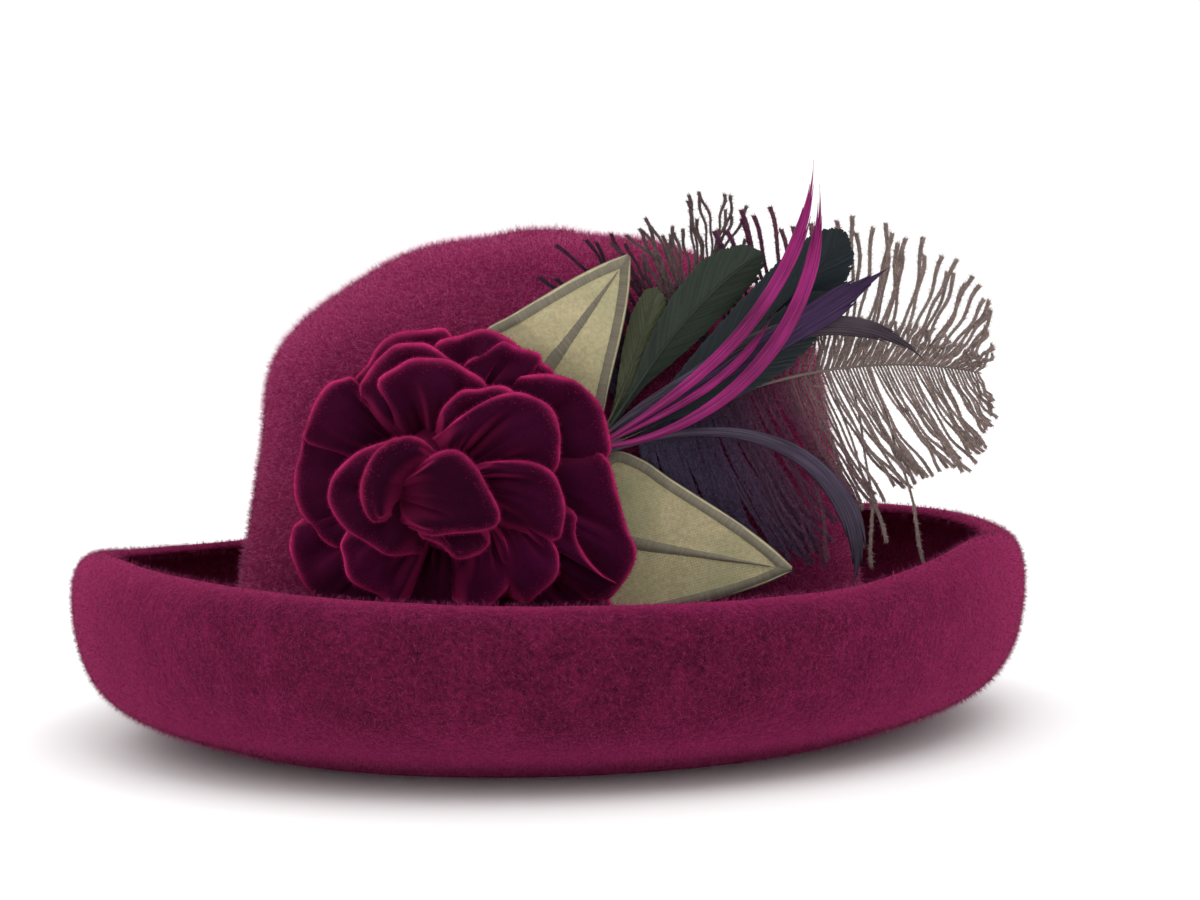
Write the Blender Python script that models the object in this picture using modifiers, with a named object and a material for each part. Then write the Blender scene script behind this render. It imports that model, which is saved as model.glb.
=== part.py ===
# Cloche hat in one piece of wool felt with a rolled-up brim, a folded velvet ribbon rose,
# two fabric leaves and a spray of quills, coque feathers and ostrich plumes on its near side.
# Units are metres, +Z is up, X is the hat's length and the trim sits on the -Y side.
import bpy
import bmesh
import math
from mathutils import Vector

# Driving sizes
FELT_T = 0.003             # felt wall
HEAD_HALF_L = 0.105        # head oval at the headline, half length
HEAD_HALF_W = 0.088        # head oval at the headline, half width
CROWN_H = 0.168            # top of the crown above the rest plane
BRIM_W = 0.0575            # widest brim beyond the head oval
RIM_H = 0.060              # mean height of the rolled rim
ROSE_R = 0.050             # half spread of the rose
ROSE_X = -0.257 * HEAD_HALF_L   # rose centre along the hat
ROSE_Z = 0.5476 * CROWN_H  # rose centre above the rest plane
ROSE_CLOTH = 0.0024        # folded velvet ribbon
LEAF_T = 0.0016            # stitched double cloth of a leaf
LEAF_L = 0.0625            # length of the upper leaf
SPRAY_X = ROSE_X + 0.898 * ROSE_R   # plane where the feather roots begin
SPRAY_Z = ROSE_Z + 0.230 * ROSE_R   # middle of the bound roots
FEATHER_L = 0.100          # lengths in the feather tables are shares of this
FEATHER_HALF_W = 0.010     # half widths in the feather table are shares of this
BARB_L = 0.050             # lock lengths in the plume table are shares of this
BUNDLE_HALF_H = 0.0036     # half height of the bound roots
BINDING_L = 0.0085         # length of the binding
QUILL_T = 0.0008           # thickness of a feather blade
LOCK_T = 1.1 * QUILL_T     # thickness of a lock of barbs
GAP = 0.0004               # space left where one piece rests on another
SPRAY_LAYER = LOCK_T + 0.55 * GAP   # step from one feather layer to the next
SEGMENTS = 40              # faces round the hat
LAYERS = 13                # feather layers from front to rear
LEAN = (5.0, 13.0)         # degrees the front and rear feather layers turn in along the hat
RECLINE = (1.0, 18.0)      # degrees the front and rear layers lean back as they rise
RECLINE_FROM = 0.005       # rise above the roots where that lean begins

# Crown: share of the head oval, share of the crown height
CROWN_ROWS = [
    (0.17, 0.984), (0.35, 0.970), (0.48, 0.944), (0.61, 0.897), (0.73, 0.847),
    (0.820, 0.796), (0.870, 0.745), (0.895, 0.690), (0.907, 0.620), (0.936, 0.510),
    (0.973, 0.380), (0.998, 0.255), (0.992, 0.110),
]
# Brim: share of the reach beyond the head oval, share of the rim height
BRIM_ROWS = [
    (0.040, 0.050), (0.104, 0.025), (0.209, 0.025), (0.330, 0.072), (0.470, 0.122),
    (0.610, 0.175), (0.745, 0.238), (0.840, 0.318), (0.918, 0.440), (0.965, 0.620),
    (0.978, 0.800), (0.955, 0.925), (0.890, 0.990), (0.800, 1.000),
]
# Height of the rim round the hat: degrees from +X towards +Y, share of the rim height
RIM_ROWS = [
    (0, 1.02), (30, 1.02), (60, 0.97), (90, 0.92), (135, 0.875), (160, 0.93), (180, 1.01),
    (200, 1.065), (225, 1.03), (250, 0.98), (275, 0.95), (305, 0.935), (322, 1.00),
    (336, 1.06), (350, 1.035), (360, 1.02),
]
# Rose petals: name, height, then the rim as four points across and up, all shares of ROSE_R
PETALS = [
    ("outer_left", 0.34, -0.98, 0.43, -1.06, 0.06, -0.95, -0.30, -0.76, -0.41),
    ("outer_low_left", 0.32, -1.07, -0.22, -1.11, -0.43, -1.01, -0.65, -0.85, -0.82),
    ("outer_upper_left", 0.40, -1.00, 0.24, -0.93, 0.49, -0.79, 0.67, -0.65, 0.69),
    ("outer_top_left", 0.36, -0.70, 0.64, -0.51, 0.86, -0.24, 0.98, -0.01, 0.95),
    ("upper_left_fold", 0.48, -0.67, 0.60, -0.48, 0.82, -0.22, 0.91, 0.00, 0.75),
    ("outer_top_right", 0.40, -0.19, 0.87, 0.12, 0.98, 0.43, 0.84, 0.66, 0.66),
    ("upper_right_fold", 0.44, 0.02, 0.76, 0.20, 0.85, 0.37, 0.88, 0.57, 0.77),
    ("outer_right_top", 0.48, 0.33, 0.69, 0.62, 0.68, 0.87, 0.51, 0.96, 0.10),
    ("outer_right", 0.54, 0.93, 0.25, 1.00, -0.17, 1.08, -0.47, 0.86, -0.79),
    ("inner_right", 0.58, 0.72, -0.13, 0.75, -0.36, 0.87, -0.55, 1.01, -0.63),
    ("top_centre", 0.56, -0.54, 0.63, -0.30, 0.81, 0.01, 0.78, 0.22, 0.61),
    ("top_small", 0.62, -0.13, 0.48, 0.05, 0.63, 0.27, 0.63, 0.40, 0.53),
    ("middle_top_right", 0.70, -0.08, 0.40, 0.29, 0.58, 0.61, 0.46, 0.62, 0.06),
    ("middle_right", 0.74, 0.17, 0.18, 0.49, 0.16, 0.65, -0.08, 0.59, -0.36),
    ("middle_low_right", 0.66, 0.38, -0.17, 0.59, -0.36, 0.56, -0.57, 0.35, -0.75),
    ("middle_low", 0.60, 0.28, -0.29, 0.33, -0.51, 0.21, -0.70, -0.01, -0.81),
    ("low_left_fold", 0.62, -0.76, -0.28, -0.72, -0.52, -0.54, -0.65, -0.42, -0.78),
    ("wrap_left", 0.76, -0.52, 0.31, -0.82, 0.05, -0.70, -0.24, -0.37, -0.43),
    ("wrap_top", 0.86, -0.66, 0.06, -0.45, 0.35, -0.18, 0.36, -0.01, 0.23),
    ("bud_right", 0.92, -0.03, 0.26, 0.15, 0.07, 0.23, -0.21, -0.13, -0.35),
    ("low_outer_left", 0.30, -0.95, -0.72, -0.75, -0.94, -0.44, -1.00, -0.19, -0.93),
    ("low_outer_mid", 0.34, -0.36, -0.89, -0.03, -1.01, 0.31, -0.99, 0.57, -0.86),
    ("low_outer_right", 0.40, 0.39, -0.81, 0.63, -0.93, 0.83, -0.90, 0.95, -0.73),
]
# How a petal rises: tallest height it serves, root radius share, root height share
PETAL_ROOTS = [(0.50, 0.36, 0.30), (0.68, 0.27, 0.44), (1.00, 0.13, 0.58)]
# Petal profile from root to rim: share of the way out, share of the rise
PETAL_PROFILE = [(0.0, 0.0), (0.62, 0.74), (1.0, 1.0)]
# Heart of the rose inside the petals: share of ROSE_R out, share of ROSE_R up
HEART_ROWS = [(0.44, -0.20), (0.44, 0.10), (0.40, 0.24), (0.33, 0.40), (0.25, 0.54), (0.14, 0.66)]
HEART_SHIFT = -0.16        # the bud stands left of the rose's centre

# Leaf plan: share of the leaf's length along, half width as a share of its length
LEAF_ROWS = [
    (0.00, 0.060), (0.05, 0.235), (0.14, 0.370), (0.27, 0.362), (0.40, 0.305),
    (0.53, 0.250), (0.66, 0.195), (0.78, 0.140), (0.90, 0.075), (1.00, 0.008),
]
# Leaf section: share of the half width, height above the underside in leaf thicknesses
LEAF_SECTION = [
    (-1.0, 0.55), (-0.93, 1.0), (-0.84, 0.62), (-0.06, 0.62), (0.0, 0.95), (0.06, 0.62),
    (0.84, 0.62), (0.93, 1.0), (1.0, 0.55), (0.62, 0.0), (0.0, 0.0), (-0.62, 0.0),
]
# Leaves: name, base across and up from the rose's centre in shares of ROSE_R, share of LEAF_L,
# heading in degrees, lift at the tip as a share of LEAF_L, how far it stands off the crown
LEAVES = [
    ("leaf_upper", 0.332, 0.402, 1.000, 52.2, 0.160, 0.60),
    ("leaf_lower", 0.656, -0.330, 1.157, -11.1, 0.096, 0.75),
]
# Blade plans: share along the feather, share of the half width
BLADES = {
    "biot": [(0.0, 0.30), (0.12, 0.45), (0.35, 0.85), (0.60, 1.0), (0.80, 0.80), (0.93, 0.45), (1.0, 0.06)],
    "paddle": [(0.0, 0.18), (0.15, 0.25), (0.40, 0.55), (0.70, 0.90), (0.90, 1.0), (0.97, 0.80), (1.0, 0.30)],
    "coque": [(0.0, 0.08), (0.22, 0.16), (0.42, 0.62), (0.62, 0.95), (0.80, 1.0), (0.94, 0.66), (1.0, 0.10)],
}
# Feathers: name, material, blade, root rise in BUNDLE_HALF_H, layer from the front,
# share of FEATHER_L, heading degrees, turn degrees, bend power, share of FEATHER_HALF_W
FEATHERS = [
    ("magenta_quill_a", "magenta", "biot", 0.33, 0, 1.14, 30, 57, 1.6, 0.20),
    ("magenta_quill_b", "magenta", "biot", -0.17, 1, 1.17, 5, 88, 1.0, 0.22),
    ("magenta_quill_c", "magenta", "biot", 0.08, 2, 0.68, 24, 40, 2.4, 0.12),
    ("slate_quill_upper", "slate", "biot", 0.72, 3, 0.44, 40, -16, 0.6, 0.17),
    ("slate_quill_drooping", "slate", "paddle", -0.78, 4, 1.13, 16, -124, 1.6, 0.30),
    ("purple_quill", "purple", "coque", 0.25, 5, 1.07, 26, 6, 1.0, 0.36),
    ("dark_quill_drooping", "purple", "biot", -0.08, 6, 1.19, 36, -88, 2.4, 0.22),
    ("teal_feather", "coque_dark", "coque", 0.06, 7, 0.86, 18, 26, 1.0, 0.80),
    ("dark_feather", "coque_dark", "coque", 0.19, 8, 1.02, 32, 22, 2.4, 0.90),
    ("green_feather", "coque_green", "coque", 0.58, 9, 0.77, 54, -26, 2.4, 0.75),
    ("olive_feather", "coque_olive", "coque", 0.83, 10, 0.48, 62, 12, 1.0, 0.45),
]
# Plumes: name, root rise in BUNDLE_HALF_H, layer, share of FEATHER_L, heading, turn, bend power
PLUMES = [
    ("ostrich_plume_right", -0.42, 11, 1.28, 22, -36, 1.6),
    ("ostrich_plume_upper", 0.42, 12, 0.68, 50, 12, 1.0),
]
# Plume locks: plume, side (1 up, -1 down), number of locks, first and last angle from the
# shaft, droop degrees, then pairs of share along the shaft and share of BARB_L
LOCKS = [
    ("ostrich_plume_right", 1, 9, 80, 44, -8,
     [(0.44, 1.08), (0.56, 0.92), (0.68, 0.86), (0.80, 0.68), (0.90, 0.44), (0.97, 0.18)]),
    ("ostrich_plume_right", -1, 14, 100, 58, 6,
     [(0.13, 1.00), (0.35, 0.88), (0.56, 0.84), (0.80, 0.84), (0.90, 0.58), (0.98, 0.32)]),
    ("ostrich_plume_upper", 1, 8, 54, 28, -6,
     [(0.28, 1.04), (0.60, 0.80), (0.85, 0.46), (0.97, 0.40)]),
    ("ostrich_plume_upper", -1, 4, 22, 12, 5,
     [(0.55, 0.68), (0.80, 0.54), (0.97, 0.38)]),
]
LOCK_HALF_W = 0.0040       # half width of a lock of barbs
SHAFT_R = 0.0007           # plume shaft

# Materials: name, colour, roughness
MATERIALS = {
    "felt": ((0.150, 0.014, 0.050, 1.0), 0.95),
    "velvet": ((0.100, 0.006, 0.030, 1.0), 0.90),
    "leaf_cloth": ((0.350, 0.300, 0.170, 1.0), 0.85),
    "thread": ((0.120, 0.100, 0.090, 1.0), 0.80),
    "magenta": ((0.330, 0.020, 0.130, 1.0), 0.55),
    "purple": ((0.060, 0.020, 0.080, 1.0), 0.55),
    "slate": ((0.070, 0.065, 0.110, 1.0), 0.55),
    "coque_dark": ((0.020, 0.028, 0.035, 1.0), 0.45),
    "coque_green": ((0.030, 0.050, 0.035, 1.0), 0.45),
    "coque_olive": ((0.070, 0.075, 0.045, 1.0), 0.50),
    "ostrich": ((0.230, 0.180, 0.170, 1.0), 0.80),
}


# Scene helpers
def clear_scene():
    for ob in list(bpy.data.objects):
        bpy.data.objects.remove(ob, do_unlink=True)
    for coll in list(bpy.data.collections):
        bpy.data.collections.remove(coll)


def new_collection(name):
    coll = bpy.data.collections.new(name)
    bpy.context.scene.collection.children.link(coll)
    return coll


def make_materials():
    made = {}
    for name, (colour, rough) in MATERIALS.items():
        mat = bpy.data.materials.new(name)
        mat.use_nodes = True
        node = mat.node_tree.nodes["Principled BSDF"]
        node.inputs["Base Color"].default_value = colour
        node.inputs["Roughness"].default_value = rough
        node.inputs["Metallic"].default_value = 0.0
        made[name] = mat
    return made


def mesh_object(name, verts, faces, coll, mat, origin=(0.0, 0.0, 0.0)):
    base = Vector(origin)
    mesh = bpy.data.meshes.new(name)
    mesh.from_pydata([tuple(Vector(v) - base) for v in verts], [], faces)
    bm = bmesh.new()
    bm.from_mesh(mesh)
    bmesh.ops.recalc_face_normals(bm, faces=bm.faces)
    bm.to_mesh(mesh)
    bm.free()
    for poly in mesh.polygons:
        poly.use_smooth = True
    ob = bpy.data.objects.new(name, mesh)
    ob.location = base
    if mat is not None:
        mesh.materials.append(mat)
    coll.objects.link(ob)
    return ob


def as_cutter(ob):
    ob.hide_render = True
    ob.display_type = "WIRE"
    return ob


# Shape helpers
def lerp_table(rows, key):
    if key <= rows[0][0]:
        return rows[0][1]
    for (a, va), (b, vb) in zip(rows, rows[1:]):
        if key <= b:
            return va + (vb - va) * (key - a) / (b - a)
    return rows[-1][1]


def smooth_curve(points, steps):
    """Points along a smooth curve through the given points, both ends kept."""
    ext = [points[0] * 2 - points[1]] + list(points) + [points[-1] * 2 - points[-2]]
    spans = len(points) - 1
    out = []
    for i in range(steps + 1):
        t = spans * i / steps
        k = min(int(t), spans - 1)
        f = t - k
        a, b, c, d = ext[k:k + 4]
        out.append(0.5 * (2 * b + (c - a) * f + (2 * a - 5 * b + 4 * c - d) * f ** 2
                          + (3 * b - a - 3 * c + d) * f ** 3))
    return out


def loft(sections, closed_ends=True):
    """Faces between rings of equal count, with a cap at each end."""
    n = len(sections[0])
    verts = [v for ring in sections for v in ring]
    faces = []
    for k in range(len(sections) - 1):
        for i in range(n):
            j = (i + 1) % n
            faces.append((k * n + i, k * n + j, (k + 1) * n + j, (k + 1) * n + i))
    if closed_ends:
        faces.append(tuple(reversed(range(n))))
        faces.append(tuple((len(sections) - 1) * n + i for i in range(n)))
    return verts, faces


def oval(reach, z, count=SEGMENTS, rim_share=0.0):
    """Ring of the hat at a half length, narrower across; the brim's rise follows RIM_ROWS."""
    half_w = reach * HEAD_HALF_W / HEAD_HALF_L
    if reach > HEAD_HALF_L:
        half_w = reach - HEAD_HALF_L + HEAD_HALF_W
    ring = []
    for i in range(count):
        a = 2 * math.pi * i / count
        wave = 1.0 + rim_share * (lerp_table(RIM_ROWS, math.degrees(a)) - 1.0)
        ring.append(Vector((reach * math.cos(a), half_w * math.sin(a), z * wave)))
    return ring


def crown_share(z):
    rows = [(h, s) for s, h in reversed(CROWN_ROWS)]
    share = lerp_table(rows, z / CROWN_H)
    return share + 0.5 * FELT_T / HEAD_HALF_L


def felt_y(x, z):
    """Depth of the crown's near side at a point of the picture plane."""
    share = crown_share(z)
    if z > CROWN_ROWS[0][1] * CROWN_H:
        share = 0.0
    across = 1.0 - (x / max(HEAD_HALF_L * share, 1e-6)) ** 2
    return -HEAD_HALF_W * share * math.sqrt(max(0.0, across))


# Felt body
def felt_profile():
    """Middle line of the felt from the crown's top to the rim: half length, height, rim share."""
    line = [(HEAD_HALF_L * s, CROWN_H * h, 0.0) for s, h in CROWN_ROWS]
    line += [(HEAD_HALF_L + BRIM_W * s, RIM_H * h, min(1.0, h)) for s, h in BRIM_ROWS]
    return line


def offset_line(line, dist):
    out = []
    for i, (r, z, w) in enumerate(line):
        before = line[max(i - 1, 0)]
        after = line[min(i + 1, len(line) - 1)]
        if i == 0:
            before = (0.0, line[0][1] + 0.001, 0.0)
        d0 = Vector((r - before[0], z - before[1]))
        d1 = Vector((after[0] - r, after[1] - z))
        if i == len(line) - 1:
            d1 = d0
        n0 = Vector((-d0.y, d0.x)).normalized()
        n1 = Vector((-d1.y, d1.x)).normalized()
        mid = (n0 + n1).normalized()
        step = dist / max(0.6, mid.dot(n0))
        out.append((r + mid.x * step, z + mid.y * step, w))
    return out


def build_felt(coll, mat):
    line = felt_profile()
    top = offset_line(line, FELT_T / 2)
    under = offset_line(line, -FELT_T / 2)
    tip = Vector((line[-1][0] - line[-2][0], line[-1][1] - line[-2][1])).normalized() * FELT_T * 0.4
    lip = (line[-1][0] + tip.x, line[-1][1] + tip.y, line[-1][2])
    rings = [oval(r, z, rim_share=w) for r, z, w in top + [lip] + under[::-1]]
    verts, faces = loft(rings, closed_ends=False)
    n = SEGMENTS
    last = (len(rings) - 1) * n
    verts.append(Vector((0.0, 0.0, CROWN_H)))
    verts.append(Vector((0.0, 0.0, CROWN_H - FELT_T)))
    for i in range(n):
        j = (i + 1) % n
        faces.append((j, i, len(verts) - 2))
        faces.append((last + i, last + j, len(verts) - 1))
    return mesh_object("felt_hat", verts, faces, coll, mat)


def build_crown_cutter(coll):
    """Crown grown by the resting gap; what rests on the felt is cut back to it."""
    rings = [oval(r + GAP, z) for r, z, w in offset_line(felt_profile(), FELT_T / 2)[:len(CROWN_ROWS)]]
    verts, faces = loft(rings)
    return as_cutter(mesh_object("crown_cutter", verts, faces, coll, None))


# Rose
def rose_point(u, v, h):
    """Place of a rose point: across, up and out from the crown, half following its curve."""
    x = ROSE_X + u * ROSE_R
    z = ROSE_Z + v * ROSE_R
    flat = felt_y(ROSE_X, ROSE_Z)
    base = flat + 0.5 * (felt_y(x, z) - flat)
    return Vector((x, base - h * ROSE_R, z))


def petal_sheet(row, steps=6):
    height = row[1]
    pts = [Vector((row[2 + 2 * i], row[3 + 2 * i])) for i in range(4)]
    rim = smooth_curve(pts, steps)
    root_r, root_h = [(r, h) for top, r, h in PETAL_ROOTS if height <= top][0]
    centre = Vector((HEART_SHIFT if height > 0.68 else HEART_SHIFT * 0.3, 0.0))
    verts = []
    for k, p in enumerate(rim):
        out = p - centre
        root = centre + out.normalized() * min(root_r, out.length * 0.6)
        dip = 1.0 - 0.20 * abs(2.0 * k / steps - 1.0) ** 3
        for f, g in PETAL_PROFILE:
            q = root + (p - root) * f
            h = height * (root_h + (dip - root_h) * g)
            verts.append(rose_point(q.x, q.y, h))
    m = len(PETAL_PROFILE)
    faces = []
    for k in range(steps):
        for i in range(m - 1):
            a = k * m + i
            faces.append((a, a + 1, a + m + 1, a + m))
    return verts, faces


def build_rose(coll, cutters, petals, crown, mat):
    rings = []
    for r, h in HEART_ROWS:
        shift = HEART_SHIFT * max(0.0, h) / HEART_ROWS[-1][1]
        ring = []
        for i in range(16):
            a = 2 * math.pi * i / 16
            ring.append(rose_point(shift + r * math.cos(a), r * math.sin(a), h))
        rings.append(ring)
    verts, faces = loft(rings)
    origin = rose_point(0.0, 0.0, 0.0)
    rose = mesh_object("velvet_rose", verts, faces, coll, mat, origin)
    for row in PETALS:
        verts, faces = petal_sheet(row)
        ob = as_cutter(mesh_object("petal_" + row[0], verts, faces, petals, None, origin))
        solid = ob.modifiers.new("cloth", "SOLIDIFY")
        solid.thickness = ROSE_CLOTH
        solid.offset = 0.0
        solid.use_even_offset = True
    join = rose.modifiers.new("petals", "BOOLEAN")
    join.operation = "UNION"
    join.solver = "EXACT"
    join.operand_type = "COLLECTION"
    join.collection = petals
    cut = rose.modifiers.new("seat", "BOOLEAN")
    cut.operation = "DIFFERENCE"
    cut.solver = "EXACT"
    cut.object = crown
    return rose


# Leaves
def build_leaf(row, coll, mat):
    name, right, up_share, size, heading, lift, stiff = row
    bx = ROSE_X + right * ROSE_R
    bz = ROSE_Z + up_share * ROSE_R
    length = size * LEAF_L
    tip_lift = lift * LEAF_L
    ax = Vector((math.cos(math.radians(heading)), math.sin(math.radians(heading))))
    across = Vector((-ax.y, ax.x))
    seat = felt_y(bx, bz)
    rings = []
    for t, half in LEAF_ROWS:
        ring = []
        for s, up in LEAF_SECTION:
            p = Vector((bx, bz)) + ax * (t * length) + across * (s * half * length)
            under = felt_y(p.x, p.y) - 1.7 * GAP - tip_lift * t * t
            stand = seat - GAP - tip_lift * t
            blend = stiff * min(1.0, t * 2.5)
            y = min(under, under + blend * (stand - under))
            ring.append(Vector((p.x, y - up * LEAF_T, p.y)))
        rings.append(ring)
    verts, faces = loft(rings)
    return mesh_object(name, verts, faces, coll, mat, (bx, seat, bz))


# Feathers
def root_depth(layer):
    front = felt_y(SPRAY_X, SPRAY_Z) - 2 * GAP - LEAF_T - SPRAY_LAYER * (LAYERS - 0.4)
    return front + SPRAY_LAYER * layer


def layer_y(x, z, layer):
    """Depth of a feather layer: it leans back along the hat and stays off the crown."""
    share = layer / (LAYERS - 1)
    lean = math.radians(LEAN[0] + (LEAN[1] - LEAN[0]) * share)
    recline = math.radians(RECLINE[0] + (RECLINE[1] - RECLINE[0]) * share)
    rise = max(0.0, z - SPRAY_Z - RECLINE_FROM)
    y = root_depth(layer) + (x - SPRAY_X) * math.tan(lean) + rise * math.tan(recline)
    return min(y, felt_y(x, z) - LEAF_T - 3 * GAP - SPRAY_LAYER * (LAYERS - 1 - layer))


def shaft_path(rise, length, heading, turn, power, steps=10):
    """Points of a curved shaft in the picture plane, each with its direction."""
    p = Vector((SPRAY_X + GAP, SPRAY_Z + rise * BUNDLE_HALF_H))
    step = length * FEATHER_L / steps
    pts = []
    for k in range(steps + 1):
        ang = math.radians(heading + turn * (k / steps) ** power)
        pts.append((p.copy(), Vector((math.cos(ang), math.sin(ang)))))
        mid = math.radians(heading + turn * ((k + 0.5) / steps) ** power)
        p = p + Vector((math.cos(mid), math.sin(mid))) * step
    return pts


def blade_rings(pts, halves, thick, layer):
    """Flat blade with a raised middle, each corner set on the layer's own surface."""
    rings = []
    for (p, d), half in zip(pts, halves):
        side = Vector((-d.y, d.x)) * half
        ring = []
        for q, out in [(p - side, 0.0), (p, -0.5), (p + side, 0.0), (p, 0.5)]:
            ring.append(Vector((q.x, layer_y(q.x, q.y, layer) + out * thick, q.y)))
        rings.append(ring)
    return rings


def build_feather(row, coll, mats):
    name, mat, blade, rise, layer, length, heading, turn, power, half = row
    pts = shaft_path(rise, length, heading, turn, power)
    wide = half * FEATHER_HALF_W
    halves = [wide * lerp_table(BLADES[blade], k / (len(pts) - 1)) for k in range(len(pts))]
    rings = blade_rings(pts, halves, QUILL_T, layer)
    verts, faces = loft(rings)
    return mesh_object(name, verts, faces, coll, mats[mat], rings[0][1])


def lock_rings(root, direction, length, droop, layer):
    """A tapering lock of barbs that bends towards its tip."""
    shares = [0.70, 1.0, 0.12]
    pts = []
    p = root.copy()
    ang = math.atan2(direction.y, direction.x)
    for k in range(len(shares)):
        d = Vector((math.cos(ang), math.sin(ang)))
        pts.append((p.copy(), d))
        p = p + d * (length / (len(shares) - 1))
        ang -= math.radians(droop)
    return blade_rings(pts, [LOCK_HALF_W * s for s in shares], LOCK_T, layer)


def build_plume(row, coll, locks, mat):
    name, rise, layer, length, heading, turn, power = row
    pts = shaft_path(rise, length, heading, turn, power)
    n = len(pts) - 1
    halves = [SHAFT_R * (1.0 - 0.55 * k / n) for k in range(n + 1)]
    rings = blade_rings(pts, halves, 1.1 * LOCK_T, layer)
    verts, faces = loft(rings)
    origin = rings[0][1]
    plume = mesh_object(name, verts, faces, coll, mat, origin)
    for plume_name, side, count, ang0, ang1, droop, sizes in LOCKS:
        if plume_name != name:
            continue
        for i in range(count):
            f = i / (count - 1)
            share = sizes[0][0] + (sizes[-1][0] - sizes[0][0]) * f
            t = share * n
            k = min(int(t), n - 1)
            root = pts[k][0].lerp(pts[k + 1][0], t - k)
            d = pts[k][1].lerp(pts[k + 1][1], t - k)
            turn_by = side * math.radians(ang0 + (ang1 - ang0) * f)
            c, s = math.cos(turn_by), math.sin(turn_by)
            out = Vector((d.x * c - d.y * s, d.x * s + d.y * c))
            size = lerp_table(sizes, share) * BARB_L
            verts, faces = loft(lock_rings(root, out, size, droop * side * -1, layer))
            ob = mesh_object("%s_lock_%d_%d" % (name, side, i), verts, faces, locks, None, origin)
            as_cutter(ob)
    join = plume.modifiers.new("locks", "BOOLEAN")
    join.operation = "UNION"
    join.solver = "EXACT"
    join.operand_type = "COLLECTION"
    join.collection = locks
    return plume


def build_binding(coll, mat):
    """Wrapped roots of the spray, between the crown and the rose."""
    front = root_depth(0) - SPRAY_LAYER * 0.5
    back = root_depth(LAYERS - 1) + SPRAY_LAYER * 0.5
    mid = 0.5 * (front + back)
    half = 0.5 * (back - front)
    rings = []
    for along, share in [(0.0, 0.94), (0.14, 1.0), (0.82, 1.0), (1.0, 0.86)]:
        ring = []
        for i in range(16):
            a = 2 * math.pi * i / 16
            ring.append(Vector((SPRAY_X - along * BINDING_L, mid + half * share * math.cos(a),
                                SPRAY_Z + BUNDLE_HALF_H * share * math.sin(a))))
        rings.append(ring)
    verts, faces = loft(rings)
    return mesh_object("spray_binding", verts, faces, coll, mat, (SPRAY_X, mid, SPRAY_Z))


def build():
    clear_scene()
    hat = new_collection("cloche_hat")
    cutters = new_collection("cutters")
    petals = bpy.data.collections.new("petals")
    cutters.children.link(petals)
    mats = make_materials()
    build_felt(hat, mats["felt"])
    crown = build_crown_cutter(cutters)
    build_rose(hat, cutters, petals, crown, mats["velvet"])
    for row in LEAVES:
        build_leaf(row, hat, mats["leaf_cloth"])
    build_binding(hat, mats["thread"])
    for row in FEATHERS:
        build_feather(row, hat, mats)
    for row in PLUMES:
        locks = bpy.data.collections.new(row[0] + "_locks")
        cutters.children.link(locks)
        build_plume(row, hat, locks, mats["ostrich"])


build()
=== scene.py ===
import math
import random

import bmesh
import bpy
from mathutils import Matrix, Vector, noise


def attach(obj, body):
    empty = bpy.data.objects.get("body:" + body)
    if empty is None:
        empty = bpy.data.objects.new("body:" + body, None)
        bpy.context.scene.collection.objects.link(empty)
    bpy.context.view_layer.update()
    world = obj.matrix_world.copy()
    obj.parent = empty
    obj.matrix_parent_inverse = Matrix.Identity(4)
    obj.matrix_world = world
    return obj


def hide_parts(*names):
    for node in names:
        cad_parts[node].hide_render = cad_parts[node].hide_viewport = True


bl_info = {
    "name": "Cloche Hat with Velvet Rose",
    "version": (1, 0, 0),
    "blender": (4, 5, 0),
    "location": "3D View > Sidebar > Cloche Hat",
    "description": "Felt cloche with a rolled brim, a velvet rose, cloth leaves and a feather spray",
    "category": "Add Mesh",
}

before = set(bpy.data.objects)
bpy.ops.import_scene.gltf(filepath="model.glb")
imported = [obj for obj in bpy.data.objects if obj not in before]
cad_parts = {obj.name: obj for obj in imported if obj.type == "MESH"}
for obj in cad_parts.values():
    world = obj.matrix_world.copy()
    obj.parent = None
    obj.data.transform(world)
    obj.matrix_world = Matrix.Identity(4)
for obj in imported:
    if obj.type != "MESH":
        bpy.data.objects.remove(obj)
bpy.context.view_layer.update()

# Sizes of the frame, in metres
FELT_T = 0.003
HEAD_HALF_L = 0.105
HEAD_HALF_W = 0.088
CROWN_H = 0.168
BRIM_REACH = 0.0575
RIM_H = 0.060
ROSE_R = 0.050
ROSE_X = -0.257 * HEAD_HALF_L
ROSE_Z = 0.5476 * CROWN_H
LEAF_L = 0.0625
LEAF_T = 0.0016
FEATHER_L = 0.100
FEATHER_HALF_W = 0.010
BARB_L = 0.050
BUNDLE_HALF_H = 0.0036
BINDING_L = 0.0085
QUILL_T = 0.0008
GAP = 0.0004
LOCK_T = 1.1 * QUILL_T
SPRAY_LAYER = LOCK_T + 0.55 * GAP
SPRAY_X = ROSE_X + 0.898 * ROSE_R
SPRAY_Z = ROSE_Z + 0.230 * ROSE_R
LAYERS = 13
LEAN = (5.0, 13.0)
RECLINE = (1.0, 18.0)
RECLINE_FROM = 0.005
# Points round the felt, steps along a feather's shaft and along and across a leaf, fine steps
# along a leaf's edge, height below which no wool stands
FELT_COUNT = 220
SHAFT_STEPS = 60
LEAF_STEPS = 72
LEAF_COLS = 40
EDGE_STEPS = 1400
NAP_FLOOR = 0.0022
# Folded rim of a petal: degrees that it curls over, how far the painted sheen along its fold reaches
CURL = 205.0
PAINTED_SHEEN_REACH = 0.0075
# Ripple of a strip, in radians: along its length, and between strips of unlike tone
RIPPLE_TURN = 13.0
RIPPLE_START = 60.0
# Camera: where it stands, what it looks at, its roll in degrees; and what the lights look at
EYE = (0.0, -0.9952, 0.1866)
TARGET = (0.0186, 0.0, 0.093)
ROLL = -1.4
MIDDLE = (0.0, 0.0, 0.09)

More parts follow.
